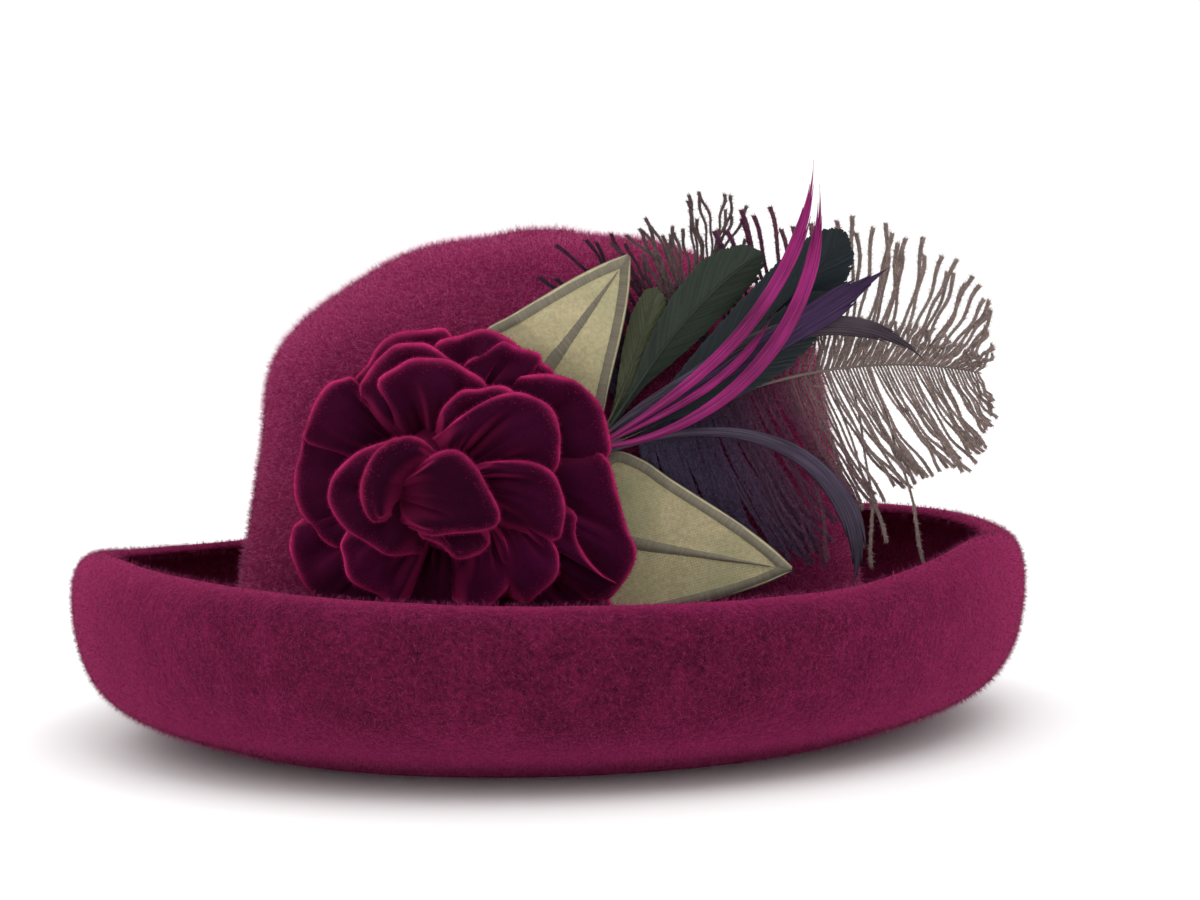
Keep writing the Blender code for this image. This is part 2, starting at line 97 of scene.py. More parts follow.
# Crown: share of the head oval, share of the crown height
CROWN_ROWS = [
    (0.035, 0.9992), (0.09, 0.9955), (0.17, 0.984), (0.35, 0.970), (0.48, 0.944), (0.61, 0.897),
    (0.73, 0.847), (0.820, 0.796), (0.870, 0.745), (0.895, 0.690), (0.907, 0.620), (0.936, 0.510),
    (0.973, 0.380), (0.998, 0.255), (0.992, 0.110),
]
# Brim: share of the reach beyond the head oval, share of the rim height
BRIM_ROWS = [
    (0.040, 0.050), (0.104, 0.025), (0.209, 0.025), (0.330, 0.072), (0.470, 0.122),
    (0.610, 0.175), (0.745, 0.238), (0.840, 0.318), (0.918, 0.440), (0.965, 0.620),
    (0.978, 0.800), (0.955, 0.925), (0.890, 0.990), (0.800, 1.000),
]
# Height of the rim round the hat: degrees from +X towards +Y, share of the rim height
RIM_ROWS = [
    (0, 1.02), (30, 1.02), (60, 0.97), (90, 0.92), (135, 0.875), (160, 0.93), (180, 1.01),
    (200, 1.065), (225, 1.03), (250, 0.98), (275, 0.95), (305, 0.935), (322, 1.00),
    (336, 1.06), (350, 1.035), (360, 1.02),
]
# Rose petals: height, then the points of the rim across and up, all shares of ROSE_R
PETALS = [
    (0.34, -0.98, 0.43, -1.06, 0.06, -0.95, -0.30, -0.76, -0.41),
    (0.32, -1.07, -0.22, -1.11, -0.43, -1.01, -0.65, -0.85, -0.82),
    (0.40, -1.00, 0.24, -0.93, 0.49, -0.79, 0.67, -0.65, 0.69),
    (0.36, -0.70, 0.64, -0.51, 0.86, -0.24, 0.98, -0.01, 0.95),
    (0.48, -0.67, 0.60, -0.48, 0.82, -0.22, 0.91, 0.00, 0.75),
    (0.40, -0.19, 0.87, 0.12, 0.98, 0.43, 0.84, 0.66, 0.66),
    (0.44, 0.02, 0.76, 0.20, 0.85, 0.37, 0.88, 0.57, 0.77),
    (0.48, 0.33, 0.69, 0.62, 0.68, 0.87, 0.51, 0.96, 0.10),
    (0.54, 0.93, 0.25, 1.00, -0.17, 1.08, -0.47, 0.86, -0.79),
    (0.58, 0.72, -0.13, 0.75, -0.36, 0.87, -0.55, 1.01, -0.63),
    (0.56, -0.54, 0.63, -0.30, 0.81, 0.01, 0.78, 0.22, 0.61),
    (0.62, -0.13, 0.48, 0.05, 0.63, 0.27, 0.63, 0.40, 0.53),
    (0.70, -0.08, 0.40, 0.29, 0.58, 0.61, 0.46, 0.62, 0.06),
    (0.74, 0.17, 0.18, 0.49, 0.16, 0.65, -0.08, 0.59, -0.36),
    (0.66, 0.38, -0.17, 0.59, -0.36, 0.56, -0.57, 0.35, -0.75),
    (0.60, 0.28, -0.29, 0.33, -0.51, 0.21, -0.70, -0.01, -0.81),
    (0.62, -0.76, -0.28, -0.72, -0.52, -0.54, -0.65, -0.42, -0.78),
    (0.76, -0.52, 0.31, -0.82, 0.05, -0.70, -0.24, -0.37, -0.43),
    (0.86, -0.40, -0.22, -0.57, -0.13, -0.62, 0.06, -0.51, 0.28, -0.29, 0.37, -0.04, 0.27),
    (0.92, -0.37, 0.15, -0.02, 0.26, 0.18, 0.04, 0.23, -0.18, -0.06, -0.25, -0.41, -0.25),
    (0.30, -0.95, -0.72, -0.75, -0.94, -0.44, -1.00, -0.19, -0.93),
    (0.34, -0.36, -0.89, -0.03, -1.01, 0.31, -0.99, 0.57, -0.86),
    (0.40, 0.39, -0.81, 0.63, -0.93, 0.83, -0.90, 0.95, -0.73),
    (0.82, -0.36, -0.24, -0.14, -0.31, 0.00, -0.40, 0.14, -0.36, 0.23, -0.21),
]
# The folds of the bud rise from a line and not from a ring: row of PETALS, both ends of the
# line across and up, the middle that the rim turns away from, root height share
BUD_ROOTS = {
    18: (-0.43, -0.13, -0.17, 0.20, -0.36, 0.04, 0.62),
    19: (-0.36, 0.06, -0.38, -0.13, -0.12, -0.02, 0.62),
    23: (-0.30, -0.15, 0.10, -0.14, -0.06, -0.12, 0.72),
}
# Painted light and shade on the petals that are not as the rest: the low petals, shaded by the brim and the
# petals above, are painted lighter, and the bud that faces the light is painted darker: row of PETALS, share
# of the velvet's colour
PAINTED_LIGHT_AND_SHADE = {18: 0.66, 19: 0.66, 23: 0.75, 17: 0.85, 1: 1.3, 14: 1.3, 15: 1.5, 16: 1.4, 20: 1.5,
        21: 1.6, 22: 1.4}
# How a petal rises: tallest height it serves, root radius share, root height share
PETAL_ROOTS = [(0.50, 0.36, 0.30), (0.68, 0.27, 0.44), (1.00, 0.13, 0.58)]
# Heart of the rose inside the petals: share of ROSE_R out, share of ROSE_R up
HEART_ROWS = [(0.44, -0.20), (0.44, 0.10), (0.40, 0.24), (0.33, 0.40), (0.25, 0.54), (0.14, 0.66)]
HEART_SHIFT = -0.16

# Leaf plan: share of the leaf's length along, half width as a share of its length
LEAF_ROWS = [
    (0.00, 0.060), (0.05, 0.235), (0.14, 0.370), (0.27, 0.362), (0.40, 0.305),
    (0.53, 0.250), (0.66, 0.195), (0.78, 0.140), (0.90, 0.075), (1.00, 0.008),
]
# Leaf section: share of the half width, height above the underside in leaf thicknesses
LEAF_TOP = [(-1.0, 0.55), (-0.95, 0.74), (-0.80, 0.70), (-0.06, 0.68), (0.0, 0.80), (0.06, 0.68),
            (0.80, 0.70), (0.95, 0.74), (1.0, 0.55)]
# Leaves: name, base across and up from the rose's centre in shares of ROSE_R, share of LEAF_L,
# heading in degrees, lift at the tip as a share of LEAF_L, how far it stands off the crown
LEAVES = [
    ("leaf_upper", 0.332, 0.402, 1.000, 52.2, 0.160, 0.60),
    ("leaf_lower", 0.656, -0.330, 1.157, -11.1, 0.096, 0.75),
]
# Blade plans: share along the feather, share of the half width
BLADES = {
    "biot": [(0.0, 0.30), (0.12, 0.45), (0.35, 0.85), (0.60, 1.0), (0.80, 0.80), (0.93, 0.45),
             (1.0, 0.12)],
    "paddle": [(0.0, 0.18), (0.15, 0.25), (0.40, 0.55), (0.70, 0.90), (0.90, 1.0), (0.97, 0.80),
               (1.0, 0.30)],
    "coque": [(0.0, 0.08), (0.22, 0.16), (0.42, 0.62), (0.62, 0.95), (0.80, 1.0), (0.94, 0.66),
              (1.0, 0.10)],
}
# Quills and coque feathers: name, slot, blade, root rise in BUNDLE_HALF_H, layer from the front,
# share of FEATHER_L, heading degrees, turn degrees, bend power, share of FEATHER_HALF_W
QUILLS = [
    ("magenta_quill_a", "magenta", "biot", 0.33, 0, 1.14, 30, 57, 1.6, 0.20),
    ("magenta_quill_b", "magenta", "biot", -0.17, 1, 1.17, 5, 88, 1.0, 0.22),
    ("magenta_quill_c", "magenta", "biot", 0.08, 2, 0.68, 24, 40, 2.4, 0.12),
    ("slate_quill_upper", "slate", "biot", 0.72, 3, 0.44, 40, -16, 0.6, 0.17),
    ("slate_quill_drooping", "slate", "paddle", -0.78, 4, 1.13, 16, -124, 1.6, 0.30),
    ("purple_quill", "purple", "coque", 0.25, 5, 1.07, 26, 6, 1.0, 0.36),
    ("dark_quill_drooping", "purple", "biot", -0.08, 6, 1.19, 36, -88, 2.4, 0.28),
]
COQUES = [
    ("teal_feather", "coque_dark", "coque", 0.06, 7, 0.86, 18, 26, 1.0, 0.80),
    ("dark_feather", "coque_dark", "coque", 0.19, 8, 1.02, 32, 22, 2.4, 1.15),
    ("green_feather", "coque_green", "coque", 0.58, 9, 0.77, 54, -26, 2.4, 0.85),
    ("olive_feather", "coque_olive", "coque", 0.83, 10, 0.48, 62, 12, 1.0, 0.55),
]
# Plumes: name, root rise in BUNDLE_HALF_H, layer, share of FEATHER_L, heading, turn, bend power
PLUMES = [
    ("ostrich_plume_right", -0.42, 11, 1.28, 22, -36, 1.6),
    ("ostrich_plume_upper", 0.42, 12, 0.68, 50, 12, 1.0),
]
# Plume barbs: plume, side (1 up, -1 down), barbs, first and last angle from the shaft, droop
# degrees, spread of the tips, half width, then pairs of share along the shaft and of BARB_L
BARBS = [
    ("ostrich_plume_right", 1, 48, 78, 40, -10, 1.3, 0.00046,
     [(0.30, 0.70), (0.44, 1.10), (0.56, 1.00), (0.68, 0.92), (0.80, 0.73), (0.90, 0.50), (0.985, 0.16)]),
    ("ostrich_plume_right", -1, 96, 100, 86, 6, 1.6, 0.00036,
     [(0.09, 0.86), (0.16, 1.12), (0.28, 1.20), (0.36, 1.10)]),
    ("ostrich_plume_right", -1, 74, 88, 58, 8, 1.4, 0.00036,
     [(0.34, 1.00), (0.56, 0.92), (0.80, 0.78), (0.90, 0.54), (0.99, 0.20)]),
    ("ostrich_plume_right", -1, 7, 90, 76, -4, 1.5, 0.00036, [(0.38, 1.24), (0.70, 1.36)]),
    ("ostrich_plume_right", 1, 46, 60, 30, -10, 1.2, 0.00036, [(0.56, 0.34), (0.78, 0.30), (0.96, 0.14)]),
    ("ostrich_plume_upper", 1, 26, 62, 22, -10, 3.0, 0.00036,
     [(0.16, 0.95), (0.30, 1.10), (0.60, 0.86), (0.85, 0.56), (0.98, 0.42)]),
    ("ostrich_plume_upper", -1, 12, 26, 6, 7, 2.6, 0.00036, [(0.50, 0.76), (0.80, 0.60), (0.98, 0.42)]),
    ("ostrich_plume_upper", 1, 34, 62, 34, -6, 1.2, 0.00036, [(0.14, 0.46), (0.40, 0.56), (0.70, 0.50)]),
]
# Barb bundles of a quill: place and width across as shares of the half width, where it ends
SLIVERS = [(-0.78, 0.36, 0.88), (-0.42, 0.42, 0.95), (0.0, 0.44, 1.0), (0.42, 0.42, 0.97),
           (0.78, 0.36, 0.91)]
# Section of a barb bundle: across in its own half widths, height in its half thicknesses
SLIVER_RING = [(-1.0, 0.0), (-0.5, 0.75), (0.0, 1.0), (0.5, 0.75), (1.0, 0.0), (0.0, -0.55)]
# Half width of the stitched midrib along a leaf
MIDRIB_ROWS = [(0.0, 0.0024), (0.35, 0.0022), (0.7, 0.0010), (0.9, 0.0002)]
# Spray binding: share of its length, share of its thickness
BINDING_ROWS = [(0.0, 0.90), (0.14, 0.95), (0.82, 0.95), (1.0, 0.82)]
# Loose wool: name, 1 on the brim, seed, share of the density, how pale the tips are painted, a painted glow
# that stands for light shining through the wool
NAPS = [("crown_nap", 0, 11, 1.60, 1.3), ("brim_nap", 1, 12, 1.0, 0.6)]
# How fibres and strips grow, as inputs of their trees
WOOL = {"Width": 0.00013, "Rise": 0.80, "Spread": 0.9}
PILE = {"Density": 7.0e6, "Width": 0.00010, "Rise": 0.9, "Spread": 0.7, "Seed": 31}
DOWN = {"Density": 1.9e7, "Width": 0.00019, "Rise": 0.0, "Lean": 0.70, "Spread": 0.7, "Seed": 23}
STITCH = {"Steps": 7, "Taper": 0.0, "Ripple": 0.0}
VANE = {"Steps": 7, "Taper": 0.40, "Ripple": 0.00010}
BARB = {"Steps": 14, "Taper": -0.65, "Ripple": 0.00070}
# Plume finishes: name, shares of the colour in the deep and the light strands
PLUME_FINISHES = [("_barb", 0.22, 1.05), ("_fluff", 0.30, 2.05)]
# Dye of a plume along its shaft, from its root
PLUME_DYE = [(0.0, (0.20, 0.22, 0.46, 1.0)), (0.26, (0.22, 0.18, 0.42, 1.0)),
             (0.46, (0.46, 0.15, 0.38, 1.0)), (0.60, (1.0, 1.0, 1.0, 1.0))]


# Settings shown in the sidebar
def number(name, description, default, **more):
    return bpy.props.FloatProperty(name=name, description=description, default=default, **more)


def length(name, description, default, precision=4):
    return number(name, description, default, unit="LENGTH", precision=precision)


def colour(name, description, default):
    return bpy.props.FloatVectorProperty(name=name, description=description, default=default,
                                         size=3, subtype="COLOR")


class FeltSettings(bpy.types.PropertyGroup):
    """Sizes and colours of the felt body."""
    wall: length("Wall", "Thickness of the felt", FELT_T)
    lumps: length("Lumps", "Depth of the soft hollows of hand blocked felt", 0.0006)
    nap_length: length("Nap length", "Length of the loose wool fibres", 0.0024)
    nap_density: number("Nap density", "Loose fibres in a square metre", 1150000.0)
    deep: colour("Deep colour", "Felt colour between the fibres", (0.034, 0.0025, 0.0125))
    light: colour("Light colour", "Felt colour on the raised wool", (0.146, 0.0090, 0.0455))


class RoseSettings(bpy.types.PropertyGroup):
    """Sizes and colours of the velvet rose."""
    fold: length("Fold radius", "Radius of the folded rim of a petal", 0.0030)
    gathers: length("Gathers", "Depth of the gathers in a petal", 0.0080)
    pile_length: length("Pile length", "Length of the pile at the folds", 0.0011)
    pile: colour("Pile colour", "Velvet seen straight on", (0.0185, 0.0007, 0.0085))
    # The bloom colour tints the velvet's sheen and is also the colour of its painted sheen
    bloom: colour("Bloom colour", "Velvet seen along its pile", (0.95, 0.045, 0.26))


class LeafSettings(bpy.types.PropertyGroup):
    """Sizes and colours of the cloth leaves."""
    border: length("Border", "Width of the satin stitched border", 0.0032)
    stitch: length("Stitch", "Step from one border stitch to the next", 0.00034, 5)
    cloth: colour("Cloth colour", "Khaki cloth of a leaf", (0.425, 0.365, 0.212))
    thread: colour("Thread colour", "Grey-green border thread", (0.165, 0.145, 0.105))


class FeatherSettings(bpy.types.PropertyGroup):
    """Sizes and colours of the quills, coque feathers and plumes."""
    barb_step: length("Barb step", "Step from one coque barb to the next", 0.00042, 5)
    barbule: length("Barbule", "Length of the fluff on an ostrich barb", 0.0014)
    magenta: colour("Magenta", "Dyed magenta quills", (0.160, 0.0060, 0.078))
    purple: colour("Purple", "Dyed purple quills", (0.024, 0.0085, 0.036))
    slate: colour("Slate", "Slate blue quills", (0.036, 0.025, 0.044))
    dusk: colour("Dusk", "Brown-purple drooping quill", (0.030, 0.020, 0.028))
    coque_dark: colour("Dark coque", "Blue-black coque feathers", (0.0065, 0.0120, 0.0155))
    coque_green: colour("Green coque", "Green coque feather", (0.017, 0.025, 0.017))
    coque_olive: colour("Olive coque", "Olive coque feather", (0.046, 0.052, 0.026))
    ostrich: colour("Ostrich", "Brown-grey ostrich barbs", (0.215, 0.160, 0.146))
    ostrich_dark: colour("Dark ostrich", "Upper ostrich plume", (0.105, 0.068, 0.070))


class StageSettings(bpy.types.PropertyGroup):
    """Floor, light and camera."""
    floor_size: number("Floor", "Half width of the floor", 6.0, unit="LENGTH")
    sky: number("Surround", "Strength of the white surround", 1.05)
    key: number("Key light", "Power of the large soft light above", 7.0, unit="POWER")
    lens: number("Lens", "Focal length of the camera in millimetres", 87.0)


# Tables and curves
def lerp_table(rows, key):
    if key <= rows[0][0]:
        return rows[0][1]
    for (a, va), (b, vb) in zip(rows, rows[1:]):
        if key <= b:
            return va + (vb - va) * (key - a) / (b - a)
    return rows[-1][1]


def ease(x):
    x = min(1.0, max(0.0, x))
    return x * x * (3.0 - 2.0 * x)


def smooth_curve(points, steps):
    """Points along a smooth curve through the given points, both ends kept."""
    ext = [points[0] * 2 - points[1]] + list(points) + [points[-1] * 2 - points[-2]]
    spans = len(points) - 1
    out = []
    for i in range(steps + 1):
        t = spans * i / steps
        k = min(int(t), spans - 1)
        f = t - k
        a, b, c, d = ext[k:k + 4]
        out.append(0.5 * (2 * b + (c - a) * f + (2 * a - 5 * b + 4 * c - d) * f ** 2
                          + (3 * b - a - 3 * c + d) * f ** 3))
    return out


def smooth_table(rows, steps=60):
    """A two column table drawn through smoothly, for lerp_table."""
    return [(p.x, p.y) for p in smooth_curve([Vector(r) for r in rows], steps)]


def crown_share(z):
    rows = [(h, s) for s, h in reversed(CROWN_ROWS[2:])]
    return lerp_table(rows, z / CROWN_H) + 0.5 * FELT_T / HEAD_HALF_L


def felt_y(x, z):
    """Depth of the crown's near side at a point of the picture plane."""
    share = crown_share(z)
    if z > CROWN_ROWS[2][1] * CROWN_H:
        share = 0.0
    across = 1.0 - (x / max(HEAD_HALF_L * share, 1e-6)) ** 2
    return -HEAD_HALF_W * share * math.sqrt(max(0.0, across))


# Nodes
def add(tree, kind, props=None, *values, **named):
    """A node whose live inputs are set or linked in order, then by name."""
    node = tree.nodes.new(kind)
    for key, value in (props or {}).items():
        setattr(node, key, value)
    live = [s for s in node.inputs if s.enabled]
    pairs = list(zip(live, values))
    pairs += [([s for s in live if s.name == key.replace("_", " ")][0], value)
              for key, value in named.items()]
    for socket, value in pairs:
        if isinstance(value, bpy.types.NodeSocket):
            tree.links.new(value, socket)
        elif value is not None:
            socket.default_value = value
    return node


def wire(tree, kind, props=None, *values, **named):
    """The first live output of a new node."""
    return next(s for s in add(tree, kind, props, *values, **named).outputs if s.enabled)


def maths(tree, operation, *values):
    return wire(tree, "ShaderNodeMath", {"operation": operation}, *values)


def times(tree, *values):
    return maths(tree, "MULTIPLY", *values)


def weighed(tree, a, share_a, b, share_b):
    return maths(tree, "ADD", times(tree, a, share_a), times(tree, b, share_b))


def vector(tree, operation, *values):
    return wire(tree, "ShaderNodeVectorMath", {"operation": operation}, *values)


def scaled(tree, vec, factor):
    return wire(tree, "ShaderNodeVectorMath", {"operation": "SCALE"}, vec, Scale=factor)


def shifted(tree, place, *steps):
    """A place moved by one vector after another."""
    for step in steps:
        place = vector(tree, "ADD", place, step)
    return place


def made_once(name, kind, inputs, outputs):
    """Makes a node group the first time that it is asked for, from its sockets: a word is the
    kind of a socket, a number or three of them its default."""
    kinds = {float: "Float", int: "Int", tuple: "Vector"}

    def keep(build):
        def group():
            if name in bpy.data.node_groups:
                return bpy.data.node_groups[name]
            tree = bpy.data.node_groups.new(name, kind)
            for label, value in inputs.items():
                word = isinstance(value, str)
                socket = tree.interface.new_socket(
                    label, in_out="INPUT", socket_type="NodeSocket" + (value if word else kinds[type(value)]))
                if not word:
                    socket.default_value = value
            for label, value in outputs.items():
                tree.interface.new_socket(label, in_out="OUTPUT", socket_type="NodeSocket" + value)
            given = tree.nodes.new("NodeGroupInput").outputs
            for value, socket in zip(build(tree, given), tree.nodes.new("NodeGroupOutput").inputs):
                tree.links.new(value, socket)
            return tree
        return group
    return keep


def position(tree):
    return wire(tree, "GeometryNodeInputPosition")


def named(tree, name, kind="FLOAT_VECTOR"):
    return wire(tree, "GeometryNodeInputNamedAttribute", {"data_type": kind}, name)


def stored(tree, geometry, name, value, kind="FLOAT_VECTOR"):
    props = {"data_type": kind, "domain": "POINT"}
    return wire(tree, "GeometryNodeStoreNamedAttribute", props, Geometry=geometry, Name=name, Value=value)


def finished(tree, geometry, material):
    """The real mesh of a tree's last step, smooth shaded and with its material."""
    whole = wire(tree, "GeometryNodeRealizeInstances", None, geometry)
    whole = wire(tree, "GeometryNodeSetShadeSmooth", None, whole)
    return [wire(tree, "GeometryNodeSetMaterial", None, Geometry=whole, Material=material)]


def bend_strands(tree, points, blade, along, over, given):
    """Instances a flat blade on each point and bends it along the point's own vectors."""
    blade = stored(tree, blade, "along", along, "FLOAT")
    blade = stored(tree, blade, "over", over, "FLOAT")
    points = stored(tree, points, "root", position(tree))
    strands = wire(tree, "GeometryNodeInstanceOnPoints", None, Points=points, Instance=blade)
    strands = wire(tree, "GeometryNodeRealizeInstances", None, strands)
    t = named(tree, "along", "FLOAT")
    aim, bend, across = named(tree, "aim"), named(tree, "bend"), named(tree, "across")
    cut = times(tree, maths(tree, "POWER", t, 3.0), given["Taper"])
    half = times(tree, named(tree, "over", "FLOAT"), maths(tree, "SUBTRACT", 1.0, cut))
    start = times(tree, named(tree, "tone", "FLOAT"), RIPPLE_START)
    swing = maths(tree, "SINE", maths(tree, "ADD", times(tree, t, RIPPLE_TURN), start))
    swing = times(tree, swing, times(tree, t, given["Ripple"]))
    place = shifted(tree, named(tree, "root"), scaled(tree, aim, t), scaled(tree, bend, times(tree, t, t)),
                    scaled(tree, across, half), scaled(tree, vector(tree, "NORMALIZE", across), swing))
    strands = wire(tree, "GeometryNodeSetPosition", None, Geometry=strands, Position=place)
    tangent = shifted(tree, aim, scaled(tree, bend, times(tree, t, 2.0)))
    strands = stored(tree, strands, "tangent", vector(tree, "NORMALIZE", tangent))
    for name in ("root", "over", "aim", "bend", "across"):
        strands = wire(tree, "GeometryNodeRemoveAttribute", None, Geometry=strands, Name=name)
    return finished(tree, strands, given["Material"])


@made_once("hat_strands", "GeometryNodeTree",
           {"Geometry": "Geometry", "Steps": 8, "Taper": 0.9, "Ripple": 0.0, "Material": "Material"},
           {"Geometry": "Geometry"})
def strand_tree(tree, given):
    """Turns points that carry aim, bend and across vectors into bent, tapering strips."""
    blade = wire(tree, "GeometryNodeMeshGrid", None, 1.0, 1.0, given["Steps"], 2)
    spot = add(tree, "ShaderNodeSeparateXYZ", None, position(tree)).outputs
    along, over = maths(tree, "ADD", spot[0], 0.5), times(tree, spot[1], 2.0)
    return bend_strands(tree, given["Geometry"], blade, along, over, given)


@made_once("hat_nap", "GeometryNodeTree",
           {"Geometry": "Geometry", "Density": 1000.0, "Length": 0.001, "Width": 0.0001, "Rise": 0.4,
            "Lean": 0.0, "Spread": 1.0, "Taper": 0.0, "Ripple": 0.0, "Seed": 1, "Material": "Material"},
           {"Geometry": "Geometry"})
def nap_tree(tree, given):
    """Scatters short three-cornered fibres over a surface, leaning with its tangent."""
    scatter = add(tree, "GeometryNodeDistributePointsOnFaces", None, Mesh=given["Geometry"],
                  Density=times(tree, given["Density"], named(tree, "nap", "FLOAT")), Seed=given["Seed"])

    def drawn(shift, low=(-1.0, -1.0, -1.0), high=(1.0, 1.0, 1.0), kind="FLOAT_VECTOR"):
        seed = maths(tree, "ADD", given["Seed"], float(shift))
        return wire(tree, "FunctionNodeRandomValue", {"data_type": kind}, low, high, None, seed)

    aim = shifted(tree, scaled(tree, scatter.outputs["Normal"], given["Rise"]),
                  scaled(tree, drawn(3), given["Spread"]),
                  scaled(tree, named(tree, "tangent"), given["Lean"]))
    size = times(tree, given["Length"], drawn(5, 0.5, 1.25, "FLOAT"))
    aim = scaled(tree, vector(tree, "NORMALIZE", aim), size)
    across = vector(tree, "NORMALIZE", vector(tree, "CROSS_PRODUCT", aim, drawn(9)))
    across = scaled(tree, across, times(tree, given["Width"], 0.5))
    points = stored(tree, scatter.outputs["Points"], "aim", aim)
    points = stored(tree, points, "across", across)
    points = stored(tree, points, "bend", scaled(tree, aim, 0.0))
    points = stored(tree, points, "tone", drawn(7, 0.0, 1.0, "FLOAT"), "FLOAT")
    blade = wire(tree, "GeometryNodeMeshCircle", {"fill_type": "NGON"}, 3, 1.0)
    spot = add(tree, "ShaderNodeSeparateXYZ", None, position(tree)).outputs
    along = maths(tree, "DIVIDE", maths(tree, "ADD", spot[0], 0.5), 1.5)
    over = maths(tree, "DIVIDE", spot[1], 0.8660254)
    return bend_strands(tree, points, blade, along, over, given)


@made_once("hat_winding", "GeometryNodeTree",
           {"Geometry": "Geometry", "Turns": 14.0, "Length": 0.008, "Half Depth": 0.007,
            "Half Height": 0.004, "Thread": 0.0003, "Centre": (0.0, 0.0, 0.0), "Material": "Material"},
           {"Geometry": "Geometry"})
def winding_tree(tree, given):
    """Winds a thread round an oval core."""
    coil = wire(tree, "GeometryNodeCurveSpiral", None, 40, given["Turns"], 1.0, 1.0, given["Length"])
    spot = add(tree, "ShaderNodeSeparateXYZ", None, position(tree)).outputs
    place = wire(tree, "ShaderNodeCombineXYZ", None, times(tree, spot[2], -1.0),
                 times(tree, spot[0], given["Half Depth"]), times(tree, spot[1], given["Half Height"]))
    place = shifted(tree, place, given["Centre"])
    coil = wire(tree, "GeometryNodeSetPosition", None, Geometry=coil, Position=place)
    ring = wire(tree, "GeometryNodeCurvePrimitiveCircle", None, Resolution=6, Radius=given["Thread"])
    coil = wire(tree, "GeometryNodeCurveToMesh", None, coil, ring, Fill_Caps=True)
    return finished(tree, coil, given["Material"])


def grown(source, tree, name, values, keep_source=False):
    """The plain mesh that a Geometry Nodes tree makes from a source object."""
    mod = source.modifiers.new("grow", "NODES")
    mod.node_group = tree
    for item in tree.interface.items_tree:
        if item.item_type == "SOCKET" and item.in_out == "INPUT" and item.name in values:
            mod[item.identifier] = values[item.name]
    depsgraph = bpy.context.evaluated_depsgraph_get()
    depsgraph.update()
    mesh = bpy.data.meshes.new_from_object(source.evaluated_get(depsgraph), depsgraph=depsgraph)
    source.modifiers.remove(mod)
    mesh.name = name
    piece = bpy.data.objects.new(name, mesh)
    bpy.context.scene.collection.objects.link(piece)
    if not keep_source:
        bpy.data.objects.remove(source, do_unlink=True)
    if not mesh.polygons:
        raise RuntimeError("no faces were grown for " + name)
    if not mesh.materials or mesh.materials[0] is None:
        mesh.materials.clear()
        mesh.materials.append(values["Material"])
    return piece


def joined(name, pieces):
    """One object from several, in the order given."""
    bm = bmesh.new()
    mats = []
    for piece in pieces:
        for mat in piece.data.materials:
            if mat not in mats:
                mats.append(mat)
    for piece in pieces:
        start = len(bm.faces)
        bm.from_mesh(piece.data)
        bm.faces.ensure_lookup_table()
        where = [mats.index(m) for m in piece.data.materials]
        for i in range(start, len(bm.faces)):
            face = bm.faces[i]
            face.material_index = where[face.material_index] if where else 0
    mesh = bpy.data.meshes.new(name)
    bm.to_mesh(mesh)
    bm.free()
    for mat in mats:
        mesh.materials.append(mat)
    for piece in pieces:
        bpy.data.objects.remove(piece, do_unlink=True)
    whole = bpy.data.objects.new(name, mesh)
    bpy.context.scene.collection.objects.link(whole)
    return whole


# Meshes
def new_piece(name, verts, faces, mat, uvs=None, turn=True):
    """A smooth shaded mesh object at the origin, its faces pointing outwards."""
    mesh = bpy.data.meshes.new(name)
    mesh.from_pydata([tuple(v) for v in verts], [], faces)
    if uvs:
        layer = mesh.uv_layers.new(name="UVMap")
        for loop in mesh.loops:
            layer.data[loop.index].uv = uvs[loop.vertex_index]
    if turn:
        bm = bmesh.new()
        bm.from_mesh(mesh)
        bmesh.ops.recalc_face_normals(bm, faces=bm.faces)
        bm.to_mesh(mesh)
        bm.free()
    mesh.polygons.foreach_set("use_smooth", [True] * len(mesh.polygons))
    if mat is not None:
        mesh.materials.append(mat)
    piece = bpy.data.objects.new(name, mesh)
    bpy.context.scene.collection.objects.link(piece)
    return piece


def set_values(piece, name, values):
    """A number for each vertex, under a name that a material or tree can read."""
    kept = piece.data.attributes
    layer = kept.get(name) or kept.new(name, "FLOAT", "POINT")
    layer.data.foreach_set("value", values)


def strand_points(name, rows):
    """A cloud of points for the strand tree: root, mid, tip, across vector, tone, share."""
    mesh = bpy.data.meshes.new(name)
    mesh.from_pydata([tuple(r[0]) for r in rows], [], [])
    kinds = {"aim": [], "bend": [], "across": []}
    for root, mid, tip, across, *_ in rows:
        bend = 2.0 * (tip - root) - 4.0 * (mid - root)
        kinds["bend"].append(bend)
        kinds["aim"].append(tip - root - bend)
        kinds["across"].append(across)
    for key, values in kinds.items():
        layer = mesh.attributes.new(key, "FLOAT_VECTOR", "POINT")
        layer.data.foreach_set("vector", [c for v in values for c in v])
    piece = bpy.data.objects.new(name, mesh)
    bpy.context.scene.collection.objects.link(piece)
    set_values(piece, "tone", [r[4] for r in rows])
    set_values(piece, "share", [r[5] for r in rows])
    return piece


def turns(count):
    """Angles of evenly spaced points round a ring."""
    return [2 * math.pi * i / count for i in range(count)]


def loft(rings, caps=True):
    """Faces between closed rings of equal count."""
    n = len(rings[0])
    verts = [v for ring in rings for v in ring]
    faces = []
    for k in range(len(rings) - 1):
        for i in range(n):
            j = (i + 1) % n
            faces.append((k * n + i, k * n + j, (k + 1) * n + j, (k + 1) * n + i))
    if caps:
        faces.append(tuple(reversed(range(n))))
        faces.append(tuple((len(rings) - 1) * n + i for i in range(n)))
    return verts, faces


def lofted(name, rings, mat, uvs=None):
    verts, faces = loft(rings)
    return new_piece(name, verts, faces, mat, uvs)


def settle(piece, nodes):
    """Puts a finished piece on the hat in place of its frame solids."""
    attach(piece, "root")
    if nodes:
        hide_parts(*nodes)
    return piece


# Materials
def mix(tree, factor, a, b, blend="MIX"):
    return wire(tree, "ShaderNodeMix", {"data_type": "RGBA", "blend_type": blend}, factor, a, b)


